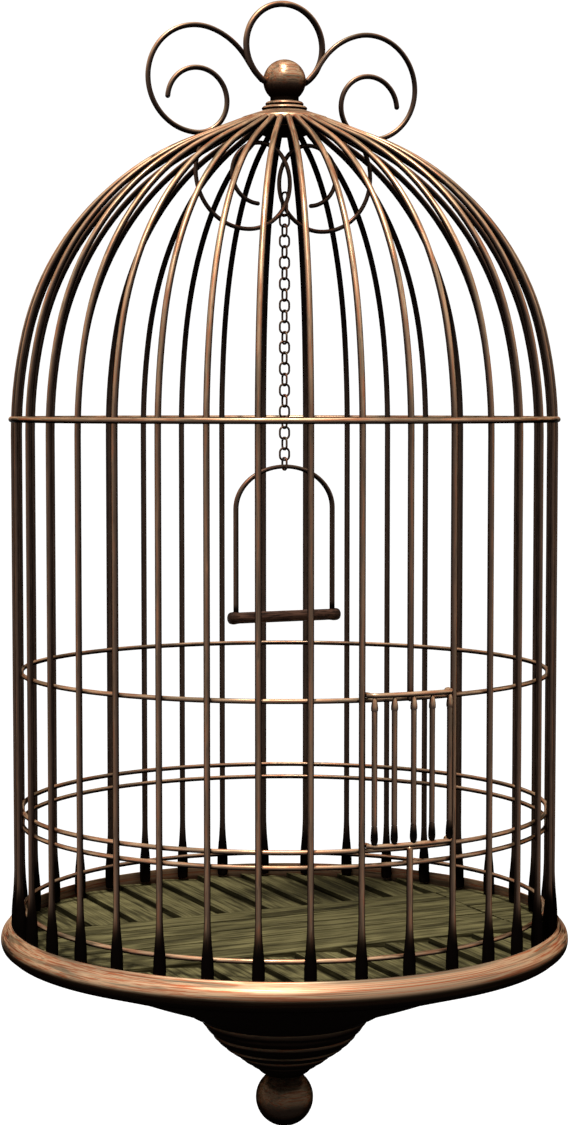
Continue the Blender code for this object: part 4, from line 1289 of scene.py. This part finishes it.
class BIRDCAGE_OT_door(bpy.types.Operator):
    """Draw the sliding door: five bars between two rails that end in eyes"""

    bl_idname = "birdcage.door"
    bl_label = "Door"

    def execute(self, context):
        sizes = context.scene.bird_cage.door
        bars = context.scene.bird_cage.bars
        low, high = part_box("door")
        lower = low.z + sizes.rail_wire / 2
        upper = high.z - sizes.rail_wire / 2
        radius = bars.radius + bars.width / 2 + sizes.knob_width / 2 + BEARING_GAP
        tip = upper - lower - 0.001
        foot = 0.0007
        # Heights over the lower rail, shares of the knob's width, and the painted shade there, darkest on the
        # knob.
        keys = [
            (foot, 0.02, 0.6),
            (foot + 0.0004, 0.5, 0.6),
            (foot + 0.0015, 0.82, 0.7),
            (foot + sizes.knob_height * 0.3, 1.0, 0.95),
            (foot + sizes.knob_height * 0.6, 0.96, 1.0),
            (foot + sizes.knob_height, 0.8, 0.6),
            (foot + sizes.knob_height * 1.5, 0.787, 0.0),
            (tip - sizes.tip_height * 1.15, 0.787, 0.0),
            (tip - sizes.tip_height * 0.85, 0.9, 0.0),
            (tip - sizes.tip_height * 0.6, sizes.tip_width / sizes.knob_width, 0.0),
            (tip - sizes.tip_height * 0.25, 0.72, 0.0),
            (tip - 0.0006, 0.42, 0.0),
            (tip, 0.02, 0.0),
        ]
        rows = smooth_through(keys, 4)
        points = upright([(radius, height) for height, _, _ in rows], lower)
        widths = [sizes.knob_width / 2 * max(width, 0.02) for _, width, _ in rows]
        dark = [ramp(amount, 0.0, 1.0) for _, _, amount in rows]
        first = -QUARTER_TURN - sizes.step * (sizes.count - 1) / 2
        mesh = path_mesh("door_bar", points, widths, dark)
        seed = SEEDS["door bar"]
        uprights = swept("door_bars", mesh, "bronzed wire", 16, sizes.count, first, sizes.step, seed=seed)
        dress(uprights, "door", "aged_bronze", "door")

        plan = self.rail_plan(sizes, bars, radius)
        for name, height in {"lower_door_rail": lower, "upper_door_rail": upper}.items():
            points = [Vector((x, y, height)) for x, y in plan]
            rail = wire(name, points, sizes.rail_wire, "bronzed wire", seed=SEEDS["door rail"])
            dress(rail, "door", "aged_bronze")
        return {"FINISHED"}

    def rail_plan(self, sizes, bars, radius):
        """A rail in plan: round one side bar, across the door's bars and round the other."""
        bend = bars.width / 2 + sizes.rail_wire / 2 + sizes.eye_gap
        step = FULL_TURN / bars.count
        reach, stretches = sizes.step * (sizes.count - 1) / 2, 16
        turns = [reach * (2 * place / stretches - 1) for place in range(stretches + 1)]
        front = [(radius * math.sin(turn), -radius * math.cos(turn)) for turn in turns]
        # Round a side bar, in degrees: from outside it, on the door's side, to inside the cage.
        eye_start, eye_end, eye_step = 30, -102, -6
        eye = []
        for degrees in range(eye_start, eye_end + eye_step, eye_step):
            turn = math.radians(degrees)
            toward, outward = bend * math.cos(turn), bars.radius + bend * math.sin(turn)
            x = outward * math.sin(step) - toward * math.cos(step)
            y = -outward * math.cos(step) - toward * math.sin(step)
            eye.append((x, y))
        return [(-x, y) for x, y in reversed(eye)] + front + eye


class BIRDCAGE_OT_base(bpy.types.Operator):
    """Turn the rim, the pan with its stepped cone, and the ball under it"""

    bl_idname = "birdcage.base"
    bl_label = "Base"

    def execute(self, context):
        sizes = context.scene.bird_cage.base
        self.rim(sizes)
        self.cone(sizes)
        # The foot ball is darkened evenly all over: painted shade for the shadow of the base above it.
        ball = round_ball("foot_knob", middle("foot_ball"), sizes.ball_radius, lambda height: 0.72)
        dress(ball, CAGE_BODY, "aged_bronze", "foot_ball")
        return {"FINISHED"}

    def rim(self, sizes):
        """The rim, from its rounded crest down to its lower edge and in to the shelf under the floor."""
        low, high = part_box("base_rim")
        crest, lowest = high.z - SHOULDER, low.z - SHOULDER
        deck_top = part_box("deck")[1].z - SHOULDER
        inner, width, depth = sizes.rim_inner, sizes.rim_width, crest - lowest
        # The rim's outside: shares of the way out and of the way down.
        side = ((0.0, 0.02), (0.2, 0.03), (0.5, 0.19), (0.86, 0.36), (1.0, 0.6), (0.86, 0.83), (0.4, 0.97))
        outer = [(inner + width * across, crest - depth * down) for across, down in side]
        shelf, shelf_edge = deck_top - 0.0056, inner - 0.007
        outline = [
            *smooth_through(outer, 5),
            (inner + width * 0.3, lowest),
            (shelf_edge, lowest),
            (shelf_edge, shelf),
            (inner, shelf),
        ]

        def tarnish_and_painted_shade(height):
            """The rim's lower half turns under and is dark: painted shade."""
            return ramp(crest - height, 0.0088, 0.0118) * 0.96

        rim = turned("turned_rim", outline, sizes.steps, "bronzed rim", closed=True, tarnish_and_painted_shade=tarnish_and_painted_shade)
        dress(rim, CAGE_BODY, "aged_bronze", "base_rim")

    def cone(self, sizes):
        """The shallow pan under the rim and the stepped cone that runs down from its middle."""
        low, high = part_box("base_cone")
        cone_bottom = low.z - SHOULDER
        cone_top = cone_bottom + sizes.cone_depth
        pan, edge = (sizes.pan_radius, high.z - SHOULDER), (sizes.cone_radius, cone_top)
        # Each step of the cone is a rounded moulding that ends in a narrow, upright lip.
        corners = (
            (0.9, 0.075),
            (0.814, 0.15),
            (0.783, 0.25),
            (0.697, 0.381),
            (0.675, 0.45),
            (0.575, 0.565),
            (0.56, 0.60),
            (0.45, 0.69),
            (0.421, 0.744),
            (0.345, 0.81),
            (0.278, 0.881),
            (0.171, 1.0),
        )
        inside = cone_top + 0.004
        outline = [(0, inside), (edge[0], inside), (pan[0] - sizes.wall * 2, pan[1])]
        # The pan sags a little as it runs in from the rim: shares of the way in and of the way down.
        sag = ((0.0, 0.0), (0.355, 0.322), (0.521, 0.483), (0.686, 0.664), (0.85, 0.832), (1.0, 1.0))
        way_in, way_down = pan[0] - edge[0], pan[1] - edge[1]
        keys = [(pan[0] - way_in * across, pan[1] - way_down * down) for across, down in sag]
        outline += smooth_through(keys, 4)
        previous, swell = edge, 0.0009
        for across, down in corners:
            corner = (sizes.cone_radius * across, cone_top - sizes.cone_depth * down)
            outline += bulge(previous, corner, swell, 7)
            previous = corner
        outline.append((0, cone_bottom))

        def patina_and_painted_shade(height):
            """Painted shade: the pan under the rim is near black, and the cone a little less dark."""
            return 0.8 + ramp(height, cone_top - 0.003, cone_top + 0.001) * 0.18

        cone = turned("turned_cone", outline, sizes.steps, "bronzed turning", tarnish_and_painted_shade=patina_and_painted_shade)
        dress(cone, CAGE_BODY, "aged_bronze", "base_cone")


class BIRDCAGE_OT_boards(bpy.types.Operator):
    """Lay the floor's boards in their three fields"""

    bl_idname = "birdcage.boards"
    bl_label = "Boards"

    def execute(self, context):
        sizes = context.scene.bird_cage.boards
        radius, _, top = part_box("deck")[1]
        back, front, side = sizes.back_joint, -sizes.front_joint, sizes.side_joint
        # Where the outer edge of the first wide board lies, along X.
        back_start, front_start = 0.217, -0.199
        # How wide a field's boards are, and how many it takes to fill the field.
        wide, narrow = (sizes.wide, 12), (sizes.narrow, 5)
        fields = {
            "back_boards": (*wide, (back_start, back, top), QUARTER_TURN, sizes.tilt),
            "middle_boards": (*narrow, (side, back, top), math.pi, 0.0),
            "side_boards": (*narrow, (side, front, top), 0.0, 0.0),
            "front_boards": (*wide, (front_start, front, top), -QUARTER_TURN, -sizes.tilt),
        }
        disc = {"segments": 180, "radius1": radius, "radius2": radius, "depth": 0.04}
        for place, (name, (width, count, corner, turn, tilt)) in enumerate(fields.items()):
            # The disc that the boards are trimmed to, which is thicker than they are.
            built = bmesh.new()
            bmesh.ops.create_cone(built, cap_ends=True, **disc)
            bmesh.ops.translate(built, verts=built.verts, vec=(0, 0, top))
            # A leaning board is sunk until its high edge is level with the deck's top.
            sunk = sizes.thickness / 2 + abs(math.sin(tilt)) * width / 2
            values = {
                "Count": count,
                "Board": (2 * radius, width - sizes.gap, sizes.thickness),
                "First": (radius, width / 2, -sunk),
                "Step": (0.0, width, 0.0),
                "Raggedness": sizes.raggedness,
                "Lowest": -sizes.unevenness,
                "Lean": (tilt, 0.0, 0.0),
                "Turn": (0.0, 0.0, turn),
                "Corner": corner,
                "Seed": SEEDS["board"] + place,
                "Material": finish("weathered boards"),
            }
            boards = grown(name, saved(f"{name}_disc", built), board_tree(), values)
            dress(boards, CAGE_BODY, "deck_boards", *(["deck"] if place == 0 else []))
        return {"FINISHED"}


def way_to(azimuth, elevation):
    """The way to a lamp or the camera, from the door's side round to +X and up."""
    level = math.cos(elevation)
    return Vector((math.sin(azimuth) * level, -math.cos(azimuth) * level, math.sin(elevation)))


class BIRDCAGE_OT_stage(bpy.types.Operator):
    """Set the floor and the backdrop, the lamps and the camera"""

    bl_idname = "birdcage.stage"
    bl_label = "Stage"

    def execute(self, context):
        sizes = context.scene.bird_cage.stage
        colours = context.scene.bird_cage.colours
        self.sweep(sizes, colours)
        self.world(sizes)
        aim = Vector((0, 0, SHOULDER - LAMP_AIM))
        azimuth = sizes.camera_azimuth
        key = way_to(sizes.key_azimuth, sizes.key_elevation) * sizes.key_distance
        self.lamp("key_lamp", aim, aim + key, sizes.key_size, sizes.key_power)
        front = way_to(sizes.front_azimuth, sizes.front_elevation) * sizes.front_distance
        self.lamp("front_lamp", aim, aim + front, sizes.front_size, sizes.front_power)

        camera = bpy.data.cameras.new("camera")
        camera.lens = sizes.camera_lens
        camera.clip_end = 50
        seen = bpy.data.objects.new("camera", camera)
        context.scene.collection.objects.link(seen)
        height = Vector((0, 0, SHOULDER + sizes.camera_level))
        seen.location = way_to(azimuth, 0) * sizes.camera_distance + height
        seen.rotation_euler = (QUARTER_TURN - sizes.camera_tilt, 0, azimuth)
        context.scene.camera = seen
        context.scene.view_settings.view_transform = "Standard"
        return {"FINISHED"}

    def lamp(self, name, aim, place, width, power):
        lamp = bpy.data.lights.new(name, "AREA")
        lamp.shape = "DISK"
        lamp.size = width
        lamp.energy = power
        made = bpy.data.objects.new(name, lamp)
        bpy.context.scene.collection.objects.link(made)
        made.location = place
        made.rotation_euler = (aim - place).to_track_quat("-Z", "Y").to_euler()

    def sweep(self, sizes, colours):
        """A pale floor that curves up into a wall all round, white to the camera and in reflections."""
        bend, wall = 1.5, 6.0  # the bend's radius and the wall's height, in metres
        outline = Bend(0, cad_box[0].z - sizes.drop - SHOULDER, 0.0).straight(sizes.width)
        outline.arc(bend, QUARTER_TURN, math.radians(9)).straight(wall)
        mesh = spun("pale_sweep", outline.points, 64)
        # Matt paper, which takes a soft shadow and has no shine.
        made, tree, shader = new_finish("pale paper")
        shader.inputs["Base Color"].default_value = opaque(colours.backdrop)
        shader.inputs["Roughness"].default_value = 0.9
        place = add_node(tree, "ShaderNodeTexCoord").outputs["Object"]
        level = add_node(tree, VECTOR_MATH, {0: place, 1: (1, 1, 0)}, operation="MULTIPLY").outputs[0]
        away = add_node(tree, VECTOR_MATH, {0: level}, operation="LENGTH").outputs["Value"]
        strength = add_node(tree, MATH, {0: seen_directly(tree)}, operation="MULTIPLY")
        reach = sizes.shadow_reach
        varied(tree, strength.inputs[1], away, reach / 2, reach, sizes.glow, 1.0)
        glow = add_node(tree, "ShaderNodeEmission", {"Color": (1, 1, 1, 1), "Strength": strength.outputs[0]})
        mixed = add_node(tree, "ShaderNodeAddShader", {0: shader.outputs[0], 1: glow.outputs[0]})
        tree.links.new(mixed.outputs[0], tree.nodes["Material Output"].inputs["Surface"])
        mesh.materials.append(made)
        shown("pale_sweep", mesh)

    def world(self, sizes):
        """An even, weak light, which is white to the camera and in reflections."""
        world = bpy.data.worlds.new("even light")
        world.use_nodes = True
        tree = world.node_tree
        background = tree.nodes["Background"]
        background.inputs["Color"].default_value = (1, 1, 1, 1)
        levels = {0: seen_directly(tree), 2: sizes.ambient, 3: 1.0}
        strength = add_node(tree, "ShaderNodeMix", levels, data_type="FLOAT")
        tree.links.new(strength.outputs[0], background.inputs["Strength"])
        bpy.context.scene.world = world


def seen_directly(tree):
    """One for a ray from the camera, or one that a glossy or a clear surface sends on, otherwise nothing."""
    path = add_node(tree, "ShaderNodeLightPath").outputs
    either = add_node(tree, MATH, {0: path["Is Camera Ray"], 1: path["Is Glossy Ray"]}, operation="MAXIMUM")
    any_of_them = {0: either.outputs[0], 1: path["Is Transmission Ray"]}
    return add_node(tree, MATH, any_of_them, operation="MAXIMUM").outputs[0]


OPERATORS = (
    BIRDCAGE_OT_bars,
    BIRDCAGE_OT_rings,
    BIRDCAGE_OT_crown,
    BIRDCAGE_OT_hanger,
    BIRDCAGE_OT_lyre,
    BIRDCAGE_OT_chain,
    BIRDCAGE_OT_swing,
    BIRDCAGE_OT_door,
    BIRDCAGE_OT_base,
    BIRDCAGE_OT_boards,
    BIRDCAGE_OT_stage,
)


class BIRDCAGE_PT_sidebar(bpy.types.Panel):
    """Lists the operators that draw the cage"""

    bl_idname = "BIRDCAGE_PT_sidebar"
    bl_label = "Bird Cage"
    bl_space_type = "VIEW_3D"
    bl_region_type = "UI"
    bl_category = "Bird Cage"

    def draw(self, context):
        for operator in OPERATORS:
            self.layout.operator(operator.bl_idname)


GROUPS = (
    BarSizes,
    RingSizes,
    CrownSizes,
    HangerSizes,
    LyreSizes,
    ChainSizes,
    SwingSizes,
    DoorSizes,
    BaseSizes,
    BoardSizes,
    FinishColours,
    StageSizes,
    CageSettings,
)


def register():
    for item in (*GROUPS, *OPERATORS, BIRDCAGE_PT_sidebar):
        bpy.utils.register_class(item)
    bpy.types.Scene.bird_cage = bpy.props.PointerProperty(type=CageSettings)


def unregister():
    del bpy.types.Scene.bird_cage
    for item in reversed((*GROUPS, *OPERATORS, BIRDCAGE_PT_sidebar)):
        bpy.utils.unregister_class(item)


def main():
    register()
    bpy.ops.birdcage.bars()
    bpy.ops.birdcage.rings()
    bpy.ops.birdcage.crown()
    bpy.ops.birdcage.hanger()
    bpy.ops.birdcage.lyre()
    bpy.ops.birdcage.chain()
    bpy.ops.birdcage.swing()
    bpy.ops.birdcage.door()
    bpy.ops.birdcage.base()
    bpy.ops.birdcage.boards()
    bpy.ops.birdcage.stage()


if __name__ == "__main__":
    main()
